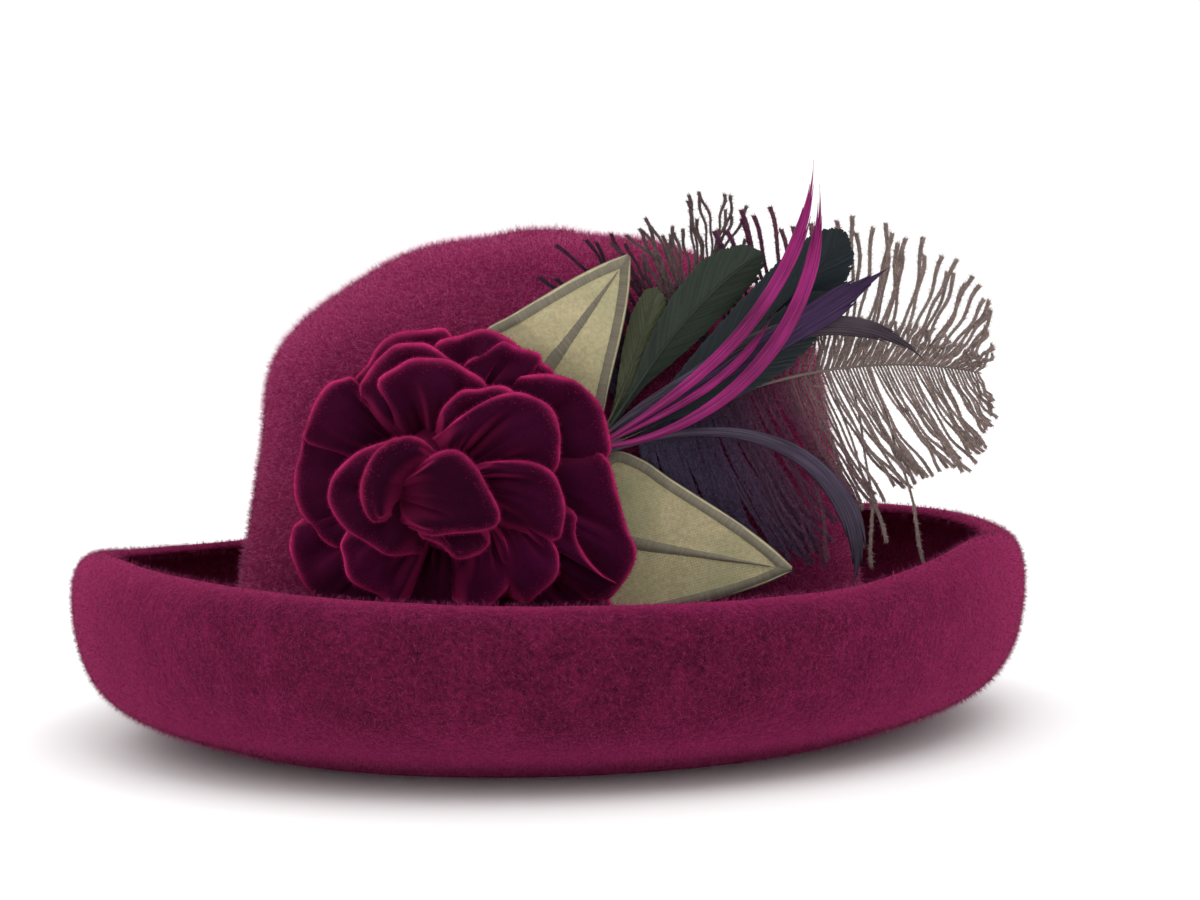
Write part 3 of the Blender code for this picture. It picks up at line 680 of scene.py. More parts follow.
def ramp(tree, value, stops):
    node = add(tree, "ShaderNodeValToRGB", None, value)
    band = node.color_ramp
    while len(band.elements) < len(stops):
        band.elements.new(0.5)
    for element, (place, tint) in zip(band.elements, stops):
        element.position = place
        element.color = tint
    return node.outputs["Color"]


def rgba(tint, factor=1.0, lift=0.0):
    """A colour made lighter or darker, with its alpha."""
    return tuple(min(1.0, c * factor + lift) for c in tint[:3]) + (1.0,)


def attribute(tree, name):
    return add(tree, "ShaderNodeAttribute", {"attribute_name": name}).outputs["Fac"]


def clouds(tree, scale, detail, roughness=0.5, spot=None):
    """Noise on Object coordinates, or on the place given."""
    if spot is None:
        spot = add(tree, "ShaderNodeTexCoord").outputs["Object"]
    return wire(tree, "ShaderNodeTexNoise", None, Vector=spot, Scale=scale, Detail=detail,
                Roughness=roughness)


def spread(tree, value, low, high, to_low, to_high):
    return wire(tree, "ShaderNodeMapRange", None, value, low, high, to_low, to_high)


def grazing(tree, power):
    """How far the surface turns from the view, steepened by a power."""
    facing = add(tree, "ShaderNodeLayerWeight", None, 0.5).outputs["Facing"]
    return maths(tree, "POWER", facing, power)


@made_once("Pile Mottle", "ShaderNodeTree",
           {"Deep": "Color", "Light": "Color", "Cloud Scale": 60.0, "Fibre Scale": 1500.0},
           {"Color": "Color", "Height": "Float"})
def pile_group(tree, given):
    """Mottled colour and height of a fibrous surface, on Object coordinates."""
    both = weighed(tree, clouds(tree, given["Cloud Scale"], 4.0, 0.6), 0.24,
                   clouds(tree, given["Fibre Scale"], 4.0, 0.75), 0.76)
    share = spread(tree, both, 0.37, 0.64, 0.0, 1.0)
    return [mix(tree, share, given["Deep"], given["Light"]), both]


@made_once("Strand Tone", "ShaderNodeTree",
           {"Deep": "Color", "Light": "Color", "Tip": "Color", "Tip Share": 0.5}, {"Color": "Color"})
def fibre_group(tree, given):
    """Colour of a strand from its own tone, its place along itself and fine streaks."""
    share = weighed(tree, attribute(tree, "tone"), 0.75, clouds(tree, 900.0, 2.0), 0.4)
    tint = mix(tree, maths(tree, "MINIMUM", share, 1.0), given["Deep"], given["Light"])
    end = times(tree, maths(tree, "POWER", attribute(tree, "along"), 2.0), given["Tip Share"])
    return [mix(tree, end, tint, given["Tip"])]


def finish_material(name, **values):
    """A new material and its Principled shader, with plain socket values."""
    mat = bpy.data.materials.new(name)
    mat.use_nodes = True
    shader = mat.node_tree.nodes["Principled BSDF"]
    for key, value in values.items():
        shader.inputs[key.replace("_", " ")].default_value = value
    return mat, mat.node_tree, shader


def coloured(tree, shader, tint):
    tree.links.new(tint, shader.inputs["Base Color"])


def bumped(tree, shader, height, strength, distance):
    bump = add(tree, "ShaderNodeBump", None, Height=height, Strength=strength, Distance=distance)
    tree.links.new(bump.outputs["Normal"], shader.inputs["Normal"])


def mottled(tree, deep, light, cloud, fibre):
    """Colour and height of a fibrous surface between two colours."""
    return add(tree, "ShaderNodeGroup", {"node_tree": pile_group()}, Deep=rgba(deep), Light=rgba(light),
               Cloud_Scale=cloud, Fibre_Scale=fibre).outputs


def pile_material(name, deep, light, cloud, fibre, strength, distance, **values):
    """A fibrous finish with a bump of its own: material, tree, shader and colour."""
    mat, tree, shader = finish_material(name, **values)
    pile = mottled(tree, deep, light, cloud, fibre)
    coloured(tree, shader, pile["Color"])
    bumped(tree, shader, pile["Height"], strength, distance)
    return mat, tree, shader, pile["Color"]


def strand_material(name, deep, light, tip, tip_share, **values):
    """A finish for strips and fibres: material, tree, shader and colour."""
    mat, tree, shader = finish_material(name, **values)
    node = add(tree, "ShaderNodeGroup", {"node_tree": fibre_group()}, Deep=rgba(deep), Light=rgba(light),
               Tip=rgba(tip), Tip_Share=tip_share)
    coloured(tree, shader, node.outputs["Color"])
    return mat, tree, shader, node.outputs["Color"]


# Felt
def felt_profile():
    """Smooth middle line of the felt from the crown's top to the rim: reach, height, rim share."""
    line = [Vector((HEAD_HALF_L * s, CROWN_H * h, 0.0)) for s, h in CROWN_ROWS]
    line += [Vector((HEAD_HALF_L + BRIM_REACH * s, RIM_H * h, min(1.0, h))) for s, h in BRIM_ROWS]
    return smooth_curve(line, 4 * (len(line) - 1))


def offset_line(line, dist):
    moved = []
    for i, p in enumerate(line):
        before = line[max(i - 1, 0)]
        after = line[min(i + 1, len(line) - 1)]
        d = Vector((after.x - before.x, after.y - before.y))
        if i == 0:
            d = Vector((1.0, 0.0))
        n = Vector((-d.y, d.x)).normalized()
        moved.append(Vector((p.x + n.x * dist, p.y + n.y * dist, p.z)))
    return moved


def felt_rings(wall, count):
    line = felt_profile()
    top = offset_line(line, wall / 2)
    under = offset_line(line, -wall / 2)
    end = line[-1]
    ahead = Vector((end.x - line[-2].x, end.y - line[-2].y)).normalized()
    side = Vector((-ahead.y, ahead.x))
    lip = []
    for k in range(1, 6):
        a = math.pi * k / 6
        step = side * math.cos(a) * wall / 2 + ahead * math.sin(a) * wall / 2
        lip.append(Vector((end.x + step.x, end.y + step.y, end.z)))
    rings = []
    for p in top + lip + under[::-1]:
        reach, z, share = p
        half_w = reach * HEAD_HALF_W / HEAD_HALF_L
        if reach > HEAD_HALF_L:
            half_w = reach - HEAD_HALF_L + HEAD_HALF_W
        ring = []
        for i in range(count):
            a = 2 * math.pi * i / count
            wave = 1.0 + share * (lerp_table(RIM_SMOOTH, math.degrees(a)) - 1.0)
            ring.append(Vector((reach * math.cos(a), half_w * math.sin(a), z * wave)))
        rings.append(ring)
    return rings, len(top), len(lip)


RIM_SMOOTH = smooth_table(RIM_ROWS, 120)
CROWN_STEPS = 4 * len(CROWN_ROWS)


class CLOCHE_OT_felt(bpy.types.Operator):
    """Blocks the crown and rolled brim from one piece of felt, with its nap"""
    bl_idname = "cloche.felt"
    bl_label = "Felt Body"

    def execute(self, context):
        s = context.scene.cloche_felt
        felt, tree, shader, straight = pile_material(
            "felt", s.deep, s.light, 150.0, 620.0, 1.0, 0.0016, Roughness=0.95, Specular_IOR_Level=0.05,
            Sheen_Weight=0.45, Sheen_Roughness=0.45, Sheen_Tint=(0.95, 0.07, 0.34, 1.0))
        blotch = spread(tree, clouds(tree, 62.0, 5.0, 0.62), 0.36, 0.64, 0.76, 1.20)
        straight = mix(tree, 1.0, straight, blotch, "MULTIPLY")
        # Painted sheen: the felt is painted lighter where it turns from the view, towards its outline
        share = times(tree, grazing(tree, 2.2), 0.55)
        coloured(tree, shader, mix(tree, share, straight, rgba(s.light, 2.6)))
        count = FELT_COUNT
        rings, tops, lips = felt_rings(s.wall, count)
        verts, faces = loft(rings, caps=False)
        last = (len(rings) - 1) * count
        verts.append(Vector((0.0, 0.0, CROWN_H + s.wall / 2)))
        verts.append(Vector((0.0, 0.0, CROWN_H - s.wall / 2)))
        for i in range(count):
            j = (i + 1) % count
            faces.append((j, i, len(verts) - 2))
            faces.append((last + i, last + j, len(verts) - 1))
        body = new_piece("felt_body", verts, faces, felt)
        normals = [v.normal.copy() for v in body.data.vertices]
        outer = (tops + lips) * count
        for i, v in enumerate(body.data.vertices):
            p = v.co
            soft = 0.5 * noise.noise(p * 34.0) + 0.3 * noise.noise(p * 90.0 + Vector((7, 1, 3)))
            fine = 0.25 * noise.noise(p * 300.0)
            lump = s.lumps * (soft + fine - 0.55) * ease((p.z - 0.002) / 0.010)
            v.co += normals[i] * (lump if i < outer or i == len(verts) - 2 else -lump * 0.8)
            v.co.z = max(v.co.z, 0.0)
        settle(body, ["felt_hat"])
        brim = [min(1.0, max(0.0, i // count - CROWN_STEPS + 1.0)) for i in range(len(verts) - 2)]
        brim += [0.0, 1.0]
        inner = 2 * (tops - CROWN_STEPS) + CROWN_STEPS + lips
        for name, on_brim, seed, more, tips in NAPS:
            # Painted light: the wool's light colour and pale pink tips are painted on, a glow as of light
            # shining through the fibres
            wool = strand_material(name, rgba(s.light, 0.7), rgba(s.light, 1.3 + 0.4 * tips),
                                   (0.88, 0.20, 0.46), tips, Roughness=0.9, Specular_IOR_Level=0.05)[0]
            nap = []
            for i, v in enumerate(body.data.vertices):
                hidden = i // count > inner or i == len(verts) - 1 or v.co.z < NAP_FLOOR
                nap.append(0.0 if hidden else brim[i] if on_brim else 1.0 - brim[i])
            set_values(body, "nap", nap)
            fuzz = grown(body, nap_tree(), name, {
                **WOOL, "Density": s.nap_density * more, "Length": s.nap_length * more ** 0.6,
                "Seed": seed, "Material": wool}, keep_source=True)
            settle(fuzz, ["felt_hat"])
        return {"FINISHED"}


# Rose
def rose_point(u, v, h):
    """Place of a rose point: across, up and out from the crown, half following its curve."""
    x = ROSE_X + u * ROSE_R
    z = ROSE_Z + v * ROSE_R
    flat = felt_y(ROSE_X, ROSE_Z)
    base = flat + 0.5 * (felt_y(x, z) - flat)
    y = base - h * ROSE_R
    return Vector((x, min(y, felt_y(x, z) - GAP), z))


def crease(lobes, phase, u, f):
    """One on the swell of a gather, nothing in the soft valley beside it."""
    turn = lobes * u + phase + 0.42 * (1.0 - f) + 0.10 * math.sin(5.0 * f + 6.0 * phase)
    fine = 0.5 + 0.5 * math.cos(2.0 * math.pi * (2.3 * turn + 0.3))
    swell = (0.5 + 0.5 * math.cos(2.0 * math.pi * turn)) ** 2.4
    return 1.0 - 0.80 * swell - 0.20 * fine ** 4 * (1.0 - f) ** 0.5


def petal_rings(row, number, fold, gathers, steps=64, rows=26):
    """Closed sections of one folded petal, and how near each point is to its folded rim."""
    height = row[0]
    pts = [Vector(row[i:i + 2]) for i in range(1, len(row), 2)]
    if number not in BUD_ROOTS:
        pts[0] += (pts[0] - pts[1]) * 0.30
        pts[-1] += (pts[-1] - pts[-2]) * 0.30
    rim = smooth_curve(pts, steps)
    root_r, root_h = [(r, h) for top, r, h in PETAL_ROOTS if height <= top][0]
    centre = Vector((HEART_SHIFT if height > 0.68 else HEART_SHIFT * 0.3, 0.0))
    line = None
    if number in BUD_ROOTS:
        ax, az, bx, bz, cx, cz, root_h = BUD_ROOTS[number]
        line, centre = (Vector((ax, az)), Vector((bx, bz))), Vector((cx, cz))
    rng = random.Random(100 + number)
    deep = gathers / ROSE_R * (0.30 if line else rng.uniform(0.8, 1.25))
    phase = rng.random()
    lobes = 0.8 + 1.25 * sum((q - p).length for p, q in zip(rim, rim[1:]))
    rings, near = [], []
    for k, p in enumerate(rim):
        u = k / steps
        out_dir = (p - centre).normalized()
        tuck = abs(2.0 * u - 1.0)
        dip = 1.0 - 0.10 * tuck ** 3
        under = ease((tuck - 0.70) / 0.30)
        end = min(1.0, 3.4 * min(u, 1.0 - u) + 0.20)
        swell = crease(lobes, phase, u, 1.0)
        wave = 0.030 * noise.noise(Vector((u * 3.2, number * 2.3, 4.0)))
        edge = p + out_dir * (wave - 0.14 * deep * (1.0 - swell) * end)
        edge -= out_dir * (under * (0.06 if line else 0.16 * (p - centre).length))
        r = fold / ROSE_R * end * (0.70 + 0.30 * swell)
        crest = edge - out_dir * r
        root = centre + out_dir * min(root_r, (crest - centre).length * 0.6)
        if line:
            root = line[0].lerp(line[1], u)
        top = height * dip + 0.016 * noise.noise(Vector((u * 5.0, number * 3.1, 0.0))) - 0.20 * under
        width = (crest - root).length
        face, close = [], []
        for i in range(rows):
            f = i / (rows - 1)
            g = 1.0 - (1.0 - f) ** (2.6 if line else 2.1)
            q = root + (crest - root) * f
            pit = deep * (1.0 - crease(lobes, phase, u, f)) * (0.35 + 0.65 * (1.0 - f) ** 0.7) * end
            soft = 0.030 * noise.noise(Vector((q.x * 6.0, q.y * 6.0, number * 1.7)))
            rise = height * root_h + (top - height * root_h) * g
            rise += (0.045 * math.sin(math.pi * f ** 1.4) + soft) * (1.0 - f ** 4)
            face.append((q, rise - pit * (1.0 - 0.75 * f ** 5)))
            close.append(width * (1.0 - f) + 1.1 * r)
        for i in range(1, 12):
            a = math.radians(CURL * i / 11)
            face.append((crest + out_dir * (r * math.sin(a)), top - r * 1.15 * (1.0 - math.cos(a))))
            close.append(abs(a - 1.1) * r)
        for q, h in face[rows - 3:0:-4]:
            face.append((q, h - 2.3 * r))
            close.append(1.0)
        rings.append([rose_point(q.x, q.y, h) for q, h in face])
        # How near each point is to the rim, which sets the reach of the velvet's painted sheen
        near += [max(0.0, 1.0 - c * ROSE_R / PAINTED_SHEEN_REACH) for c in close]
    return rings, near


class CLOCHE_OT_rose(bpy.types.Operator):
    """Folds the velvet rose, petal by petal, on its heart"""
    bl_idname = "cloche.rose"
    bl_label = "Velvet Rose"

    def execute(self, context):
        s = context.scene.cloche_rose
        velvet, tree, shader, straight = pile_material(
            "velvet", s.pile, rgba(s.pile, 2.1), 110.0, 2300.0, 0.5, 0.0006, Roughness=0.95,
            Specular_IOR_Level=0.04, Sheen_Weight=0.35, Sheen_Roughness=0.35, Sheen_Tint=rgba(s.bloom))
        # Painted sheen: the velvet is painted towards the bloom colour where it turns from the view and along
        # its folded rims, in patches
        sheen_patches = spread(tree, clouds(tree, 64.0, 5.0, 0.6), 0.34, 0.66, 0.0, 1.75)
        close = attribute(tree, "rim")
        rim = times(tree, times(tree, maths(tree, "POWER", close, 6.5), 0.34), sheen_patches)
        share = times(tree, grazing(tree, 2.4), spread(tree, close, 0.0, 0.7, 0.20, 0.42))
        share = maths(tree, "MINIMUM", maths(tree, "ADD", share, rim), 0.72)
        lit = mix(tree, share, straight, rgba(s.bloom))
        # The 'dye' attribute is painted light and shade: it lightens the low, shaded petals and darkens the
        # bud
        coloured(tree, shader, mix(tree, 1.0, lit, attribute(tree, "dye"), "MULTIPLY"))
        # Painted sheen: the pile fibres at the folds take the bloom colour, far lighter than the velvet's own
        # colour
        pile = strand_material("velvet_pile", rgba(s.bloom, 0.12), rgba(s.bloom, 0.42), rgba(s.bloom, 0.42),
                               0.5, Roughness=0.9, Specular_IOR_Level=0.05)[0]
        rings = []
        for r, h in smooth_table(HEART_ROWS, 24):
            shift = HEART_SHIFT * max(0.0, h) / HEART_ROWS[-1][1]
            rings.append([rose_point(shift + r * math.cos(a), r * math.sin(a), h) for a in turns(48)])
        verts, faces = loft(rings)
        rims, painted_light_and_shade_values = [0.0] * len(verts), [1.0] * len(verts)
        for number, row in enumerate(PETALS):
            rings, near = petal_rings(row, number, s.fold, s.gathers)
            more, sides = loft(rings)
            faces += [tuple(i + len(verts) for i in side) for side in sides]
            verts += more
            rims += near
            # Painted light and shade of each petal, kept under the name 'dye'
            painted_light_and_shade_values += [PAINTED_LIGHT_AND_SHADE.get(number, 1.0)] * len(more)
        rose = new_piece("velvet_rose_petals", verts, faces, velvet)
        set_values(rose, "rim", rims)
        set_values(rose, "dye", painted_light_and_shade_values)
        set_values(rose, "nap", [max(0.0, n - 0.35) for n in rims])
        pile = grown(rose, nap_tree(), "velvet_rose_pile",
                     {**PILE, "Length": s.pile_length, "Material": pile}, keep_source=True)
        settle(rose, ["velvet_rose"])
        settle(pile, ["velvet_rose"])
        return {"FINISHED"}


# Leaves
def leaf_place(row):
    name, right, up_share, size, heading, lift, stiff = row
    base = Vector((ROSE_X + right * ROSE_R, ROSE_Z + up_share * ROSE_R))
    a = math.radians(heading)
    return base, Vector((math.cos(a), math.sin(a))), size * LEAF_L, lift * LEAF_L, stiff


def leaf_point(row, t, s, up, half):
    """A point of a leaf: share along, share across its half width, height in metres."""
    base, ax, length, lift, stiff = leaf_place(row)
    across = Vector((-ax.y, ax.x))
    p = base + ax * (t * length) + across * (s * half)
    under = felt_y(p.x, p.y) - 1.7 * GAP - lift * t * t
    stand = felt_y(base.x, base.y) - GAP - lift * t
    blend = stiff * min(1.0, t * 2.5)
    y = min(under, under + blend * (stand - under))
    return Vector((p.x, y - up, p.y))


LEAF_SMOOTH = smooth_table(LEAF_ROWS, 90)


def leaf_cloth(row, cloth):
    """The cloth of a leaf: a quilted upper face and an under face, closed round the edge."""
    size = row[3] * LEAF_L
    verts, uvs = [], []
    for raised in (True, False):
        for k in range(LEAF_STEPS + 1):
            t = k / LEAF_STEPS
            half = lerp_table(LEAF_SMOOTH, t) * size
            for i in range(LEAF_COLS + 1):
                c = -1.0 + 2.0 * i / LEAF_COLS
                up = 0.0
                if raised:
                    quilt = 0.00018 * noise.noise(Vector((t * 7.0, c * 2.0, row[3] * 9.0)))
                    up = LEAF_T * lerp_table(LEAF_TOP, c) + quilt
                verts.append(leaf_point(row, t, c, up, half))
                uvs.append((c * half / size, t))
    n = LEAF_COLS + 1
    low = n * (LEAF_STEPS + 1)
    faces = []
    for k in range(LEAF_STEPS):
        for i in range(LEAF_COLS):
            a = k * n + i
            faces.append((a, a + 1, a + n + 1, a + n))
            faces.append((low + a, low + a + n, low + a + n + 1, low + a + 1))
    for a in range(0, LEAF_STEPS * n, n):
        b, c, d = a + n, a + LEAF_COLS, a + n + LEAF_COLS
        faces += [(a, b, low + b, low + a), (c, low + c, low + d, d)]
    for i in range(LEAF_COLS):
        top = LEAF_STEPS * n + i
        faces += [(i, low + i, low + i + 1, i + 1), (top, top + 1, low + top + 1, low + top)]
    return new_piece(row[0] + "_cloth", verts, faces, cloth, uvs)


def border_stitches(row, s, rng):
    """Satin stitches across the edge of a leaf, a step apart along both sides."""
    ax, size = leaf_place(row)[1:3]

    def half_at(t):
        return lerp_table(LEAF_SMOOTH, min(1.0, max(0.0, t))) * size

    def at(q, up):
        return leaf_point(row, q.x / size, q.y, LEAF_T * up, 1.0)

    rows, walked = [], 0.0
    for side in (-1, 1):
        last = None
        for k in range(EDGE_STEPS + 1):
            t = k / EDGE_STEPS
            spot = Vector((t * size, side * half_at(t)))
            if last is not None:
                walked += (spot - last).length
            last = spot
            if walked < s.stitch:
                continue
            walked = 0.0
            rise = half_at(t + 0.01) - half_at(t - 0.01)
            slope = Vector((0.02 * size, side * rise)).normalized()
            inward = Vector((slope.y, -slope.x)) * side
            reach = min(s.border * rng.uniform(0.985, 1.015), half_at(t) * 1.1 + 0.0006)
            inner, outer = spot + inward * reach, spot - inward * 0.00025
            if abs(inner.y) > half_at(inner.x / size) * 1.02 or inner.x < 0.0:
                continue
            tone = rng.random()
            width = Vector((slope.x * ax.x - slope.y * ax.y, 0.0, slope.x * ax.y + slope.y * ax.x))
            width = (width + Vector((0.0, rng.uniform(-0.10, 0.10), 0.0))).normalized() * s.stitch * 0.80
            rows.append((at(inner, 0.80), at((inner + outer) / 2, 0.98), at(outer, 0.30), width, tone, t))
    return rows


def midrib_stitches(row, s, rng):
    """Slanting stitches along the middle of a leaf."""
    ax, size = leaf_place(row)[1:3]
    rows, t = [], 0.10
    while t < 0.90:
        wide = lerp_table(MIDRIB_ROWS, t)
        ends = [Vector((t * size + side * 0.25 * wide, side * wide * rng.uniform(0.92, 1.08)))
                for side in (-1, 1)]
        root, tip = [leaf_point(row, q.x / size, q.y, LEAF_T * 0.55, 1.0) for q in ends]
        mid = leaf_point(row, t, 0.0, LEAF_T * 1.12, 1.0)
        width = Vector((ax.x, rng.uniform(-0.16, 0.16), ax.y)).normalized() * s.stitch * 0.66
        rows.append((root, mid, tip, width, rng.random(), t))
        t += s.stitch / size
    return rows


def build_leaf(row, s, cloth, thread):
    leaf = leaf_cloth(row, cloth)
    rng = random.Random(row[0])
    rows = border_stitches(row, s, rng) + midrib_stitches(row, s, rng)
    source = strand_points(row[0] + "_threads", rows)
    stitches = grown(source, strand_tree(), row[0] + "_stitches", {**STITCH, "Material": thread})
    settle(leaf, [row[0]])
    settle(stitches, [row[0]])


class CLOCHE_OT_leaves(bpy.types.Operator):
    """Cuts the two cloth leaves and stitches their borders and midribs"""
    bl_idname = "cloche.leaves"
    bl_label = "Cloth Leaves"

    def execute(self, context):
        s = context.scene.cloche_leaf
        cloth, tree, shader = finish_material("leaf_cloth", Roughness=0.8, Specular_IOR_Level=0.2,
                                              Sheen_Weight=0.25, Sheen_Roughness=0.5)
        khaki = mottled(tree, rgba(s.cloth, 0.78), rgba(s.cloth, 1.18), 70.0, 900.0)
        share = spread(tree, clouds(tree, 38.0, 2.0), 0.48, 0.72, 0.0, 0.6)
        coloured(tree, shader, mix(tree, share, khaki["Color"], (0.235, 0.255, 0.140, 1.0)))
        plain = add(tree, "ShaderNodeUVMap", {"uv_map": "UVMap"}).outputs["UV"]
        warp, weft = [wire(tree, "ShaderNodeTexWave", {"bands_direction": way}, Vector=plain, Scale=46.0,
                           Distortion=0.6) for way in "XY"]
        weave = times(tree, maths(tree, "ADD", warp, weft), 0.5)
        fuzz = times(tree, khaki["Height"], 0.8)
        bumped(tree, shader, maths(tree, "ADD", weave, fuzz), 0.45, 0.0004)
        thread = strand_material("leaf_thread", rgba(s.thread, 0.80), rgba(s.thread, 1.15), s.thread, 0.2,
                                 Roughness=0.7, Specular_IOR_Level=0.2, Sheen_Weight=0.1)[0]
        for row in LEAVES:
            build_leaf(row, s, cloth, thread)
        return {"FINISHED"}


# Feathers
def root_depth(layer):
    front = felt_y(SPRAY_X, SPRAY_Z) - 2 * GAP - LEAF_T - SPRAY_LAYER * (LAYERS - 0.4)
    return front + SPRAY_LAYER * layer


def layer_y(x, z, layer):
    """Depth of a feather layer: it leans back along the hat and stays off the crown."""
    share = layer / (LAYERS - 1)
    lean = math.radians(LEAN[0] + (LEAN[1] - LEAN[0]) * share)
    recline = math.radians(RECLINE[0] + (RECLINE[1] - RECLINE[0]) * share)
    rise = max(0.0, z - SPRAY_Z - RECLINE_FROM)
    y = root_depth(layer) + (x - SPRAY_X) * math.tan(lean) + rise * math.tan(recline)
    return min(y, felt_y(x, z) - LEAF_T - 3 * GAP - SPRAY_LAYER * (LAYERS - 1 - layer))


def unit(angle):
    return Vector((math.cos(angle), math.sin(angle)))


def turned(d, angle):
    c, s = math.cos(angle), math.sin(angle)
    return Vector((d.x * c - d.y * s, d.x * s + d.y * c))


def on_layer(q, layer, forward=0.0):
    """A point of the picture plane, set in its feather layer or in front of it."""
    return Vector((q.x, layer_y(q.x, q.y, layer) - forward, q.y))


def shaft_path(rise, reach, heading, turn, power):
    """Points of a curved shaft in the picture plane, each with its direction."""
    p = Vector((SPRAY_X + GAP, SPRAY_Z + rise * BUNDLE_HALF_H))
    step = reach * FEATHER_L / SHAFT_STEPS
    pts = []
    for k in range(SHAFT_STEPS + 1):
        here, ahead = [unit(math.radians(heading + turn * (i / SHAFT_STEPS) ** power)) for i in (k, k + 0.5)]
        pts.append((p.copy(), here))
        p = p + ahead * step
    return pts


def on_path(pts, share):
    t = min(max(share, 0.0), 1.0) * (len(pts) - 1)
    k = min(int(t), len(pts) - 2)
    return pts[k][0].lerp(pts[k + 1][0], t - k), pts[k][1].lerp(pts[k + 1][1], t - k).normalized()


def spine(name, pts, layer, radius, forward, end, mat, sides=6):
    """A tapering shaft along a path."""
    rings = []
    n = int((len(pts) - 1) * end)
    for k in range(n + 1):
        p, d = pts[k]
        r = radius * (1.0 - 0.75 * k / n)
        side = Vector((-d.y, d.x))
        rings.append([on_layer(p + side * (r * math.cos(a)), layer, forward - r * math.sin(a))
                      for a in turns(sides)])
    return lofted(name, rings, mat, [(0.0, 0.0)] * (len(rings) * sides))


def sliver(name, pts, halves, layer, offset, wide, end, forward, fan, mat):
    """One long barb bundle of a quill: its side place, width, end share and depth."""
    rings, uvs = [], []
    n = int((len(pts) - 1) * end)
    for k in range(n + 1):
        t = k / n
        p, d = pts[k]
        half = halves[k]
        side = Vector((-d.y, d.x))
        close = 1.0 - ease((t - 0.90) / 0.10) * 0.80
        mid = offset * half + fan * ease((t - 0.70) / 0.30)
        w = max(wide * half * close, 0.00005)
        ring = []
        for c, lift in SLIVER_RING:
            bulge = (1.0 - min(1.0, abs(offset + c * wide)) ** 2) * 0.00035
            ring.append(on_layer(p + side * (mid + c * w), layer,
                                 forward + bulge + lift * QUILL_T * 0.55 * 0.5))
            uvs.append((t * 40.0, (mid + c * w) * 1000.0))
        rings.append(ring)
    return lofted(name, rings, mat, uvs)


def build_quill(row, mat, shaft_mat):
    name, slot, blade, rise, layer, reach, heading, turn, power, half = row
    pts = shaft_path(rise, reach, heading, turn, power)
    table = smooth_table(BLADES[blade])
    halves = [half * FEATHER_HALF_W * lerp_table(table, k / SHAFT_STEPS) for k in range(SHAFT_STEPS + 1)]
    rng = random.Random(name)
    pieces = []
    for j, (offset, wide, end) in enumerate(SLIVERS):
        end *= rng.uniform(0.96, 1.0) if offset else 1.0
        fan = offset * rng.uniform(0.0002, 0.0009)
        pieces.append(sliver("%s_%d" % (name, j), pts, halves, layer, offset, wide, end,
                             0.00008 * (j % 2), fan, mat))
    pieces.append(spine(name + "_spine", pts, layer, 0.00042, 0.00042, 0.86, shaft_mat))
    settle(joined(name + "_blade", pieces), [name])


def quill_material(name, tint, gloss):
    """Streaked colour along a quill or a shaft, from its UV map."""
    mat, tree, shader = finish_material(name, Roughness=gloss, Specular_IOR_Level=0.15, Sheen_Weight=0.02,
                                        Sheen_Roughness=0.4, Sheen_Tint=rgba(tint, 3.0, 0.25))
    plain = add(tree, "ShaderNodeUVMap", {"uv_map": "UVMap"}).outputs["UV"]
    streak = wire(tree, "ShaderNodeMapping", None, plain, None, None, (0.05, 0.9, 1.0))
    fine = clouds(tree, 2.2, 4.0, 0.6, streak)
    share = weighed(tree, fine, 0.75, clouds(tree, 55.0, 2.0), 0.35)
    stops = [(0.36, rgba(tint, 0.32)), (0.53, rgba(tint)), (0.70, rgba(tint, 1.9, 0.004))]
    coloured(tree, shader, ramp(tree, share, stops))
    bumped(tree, shader, fine, 0.5, 0.0003)
    return mat


class CLOCHE_OT_quills(bpy.types.Operator):
    """Sets the magenta, slate and purple quills in their layers"""
    bl_idname = "cloche.quills"
    bl_label = "Quills"

    def execute(self, context):
        s = context.scene.cloche_feather
        shades = {key: getattr(s, key) for key in ("magenta", "purple", "slate", "dusk")}
        mats = {key: quill_material("quill_" + key, c, 0.5) for key, c in shades.items()}
        shafts = {key: quill_material("quill_shaft_" + key, rgba(c, 1.25, 0.01), 0.4)
                  for key, c in shades.items()}
        for row in QUILLS:
            key = "dusk" if row[0] == "dark_quill_drooping" else row[1]
            build_quill(row, mats[key], shafts[key])
        return {"FINISHED"}


def flat_strand(p, d, size, turn, layer, depth, half, tone, share, tilt):
    """One barb in the picture plane: from p along d, turning by turn degrees at its tip."""
    a, bend = math.atan2(d.y, d.x), math.radians(turn)
    tip_dir = unit(a + bend * 0.5)
    root = on_layer(p, layer)
    mid = on_layer(p + unit(a + bend * 0.25) * (size * 0.5), layer, depth * 0.35)
    tip = on_layer(p + tip_dir * size, layer, depth)
    across = Vector((-tip_dir.y, tilt, tip_dir.x)).normalized() * half
    return root, mid, tip, across, tone, share


def vane_reach(share, angle, real, half, table):
    """Length of a barb that starts at a share of the shaft and ends on the vane's outline."""
    size, step = 0.0, 0.0004
    while size < 0.9 * BARB_L:
        size += step
        along = share + size * math.cos(angle) / real
        if along >= 1.0 or size * math.sin(abs(angle)) >= half * lerp_table(table, along):
            break
    return size


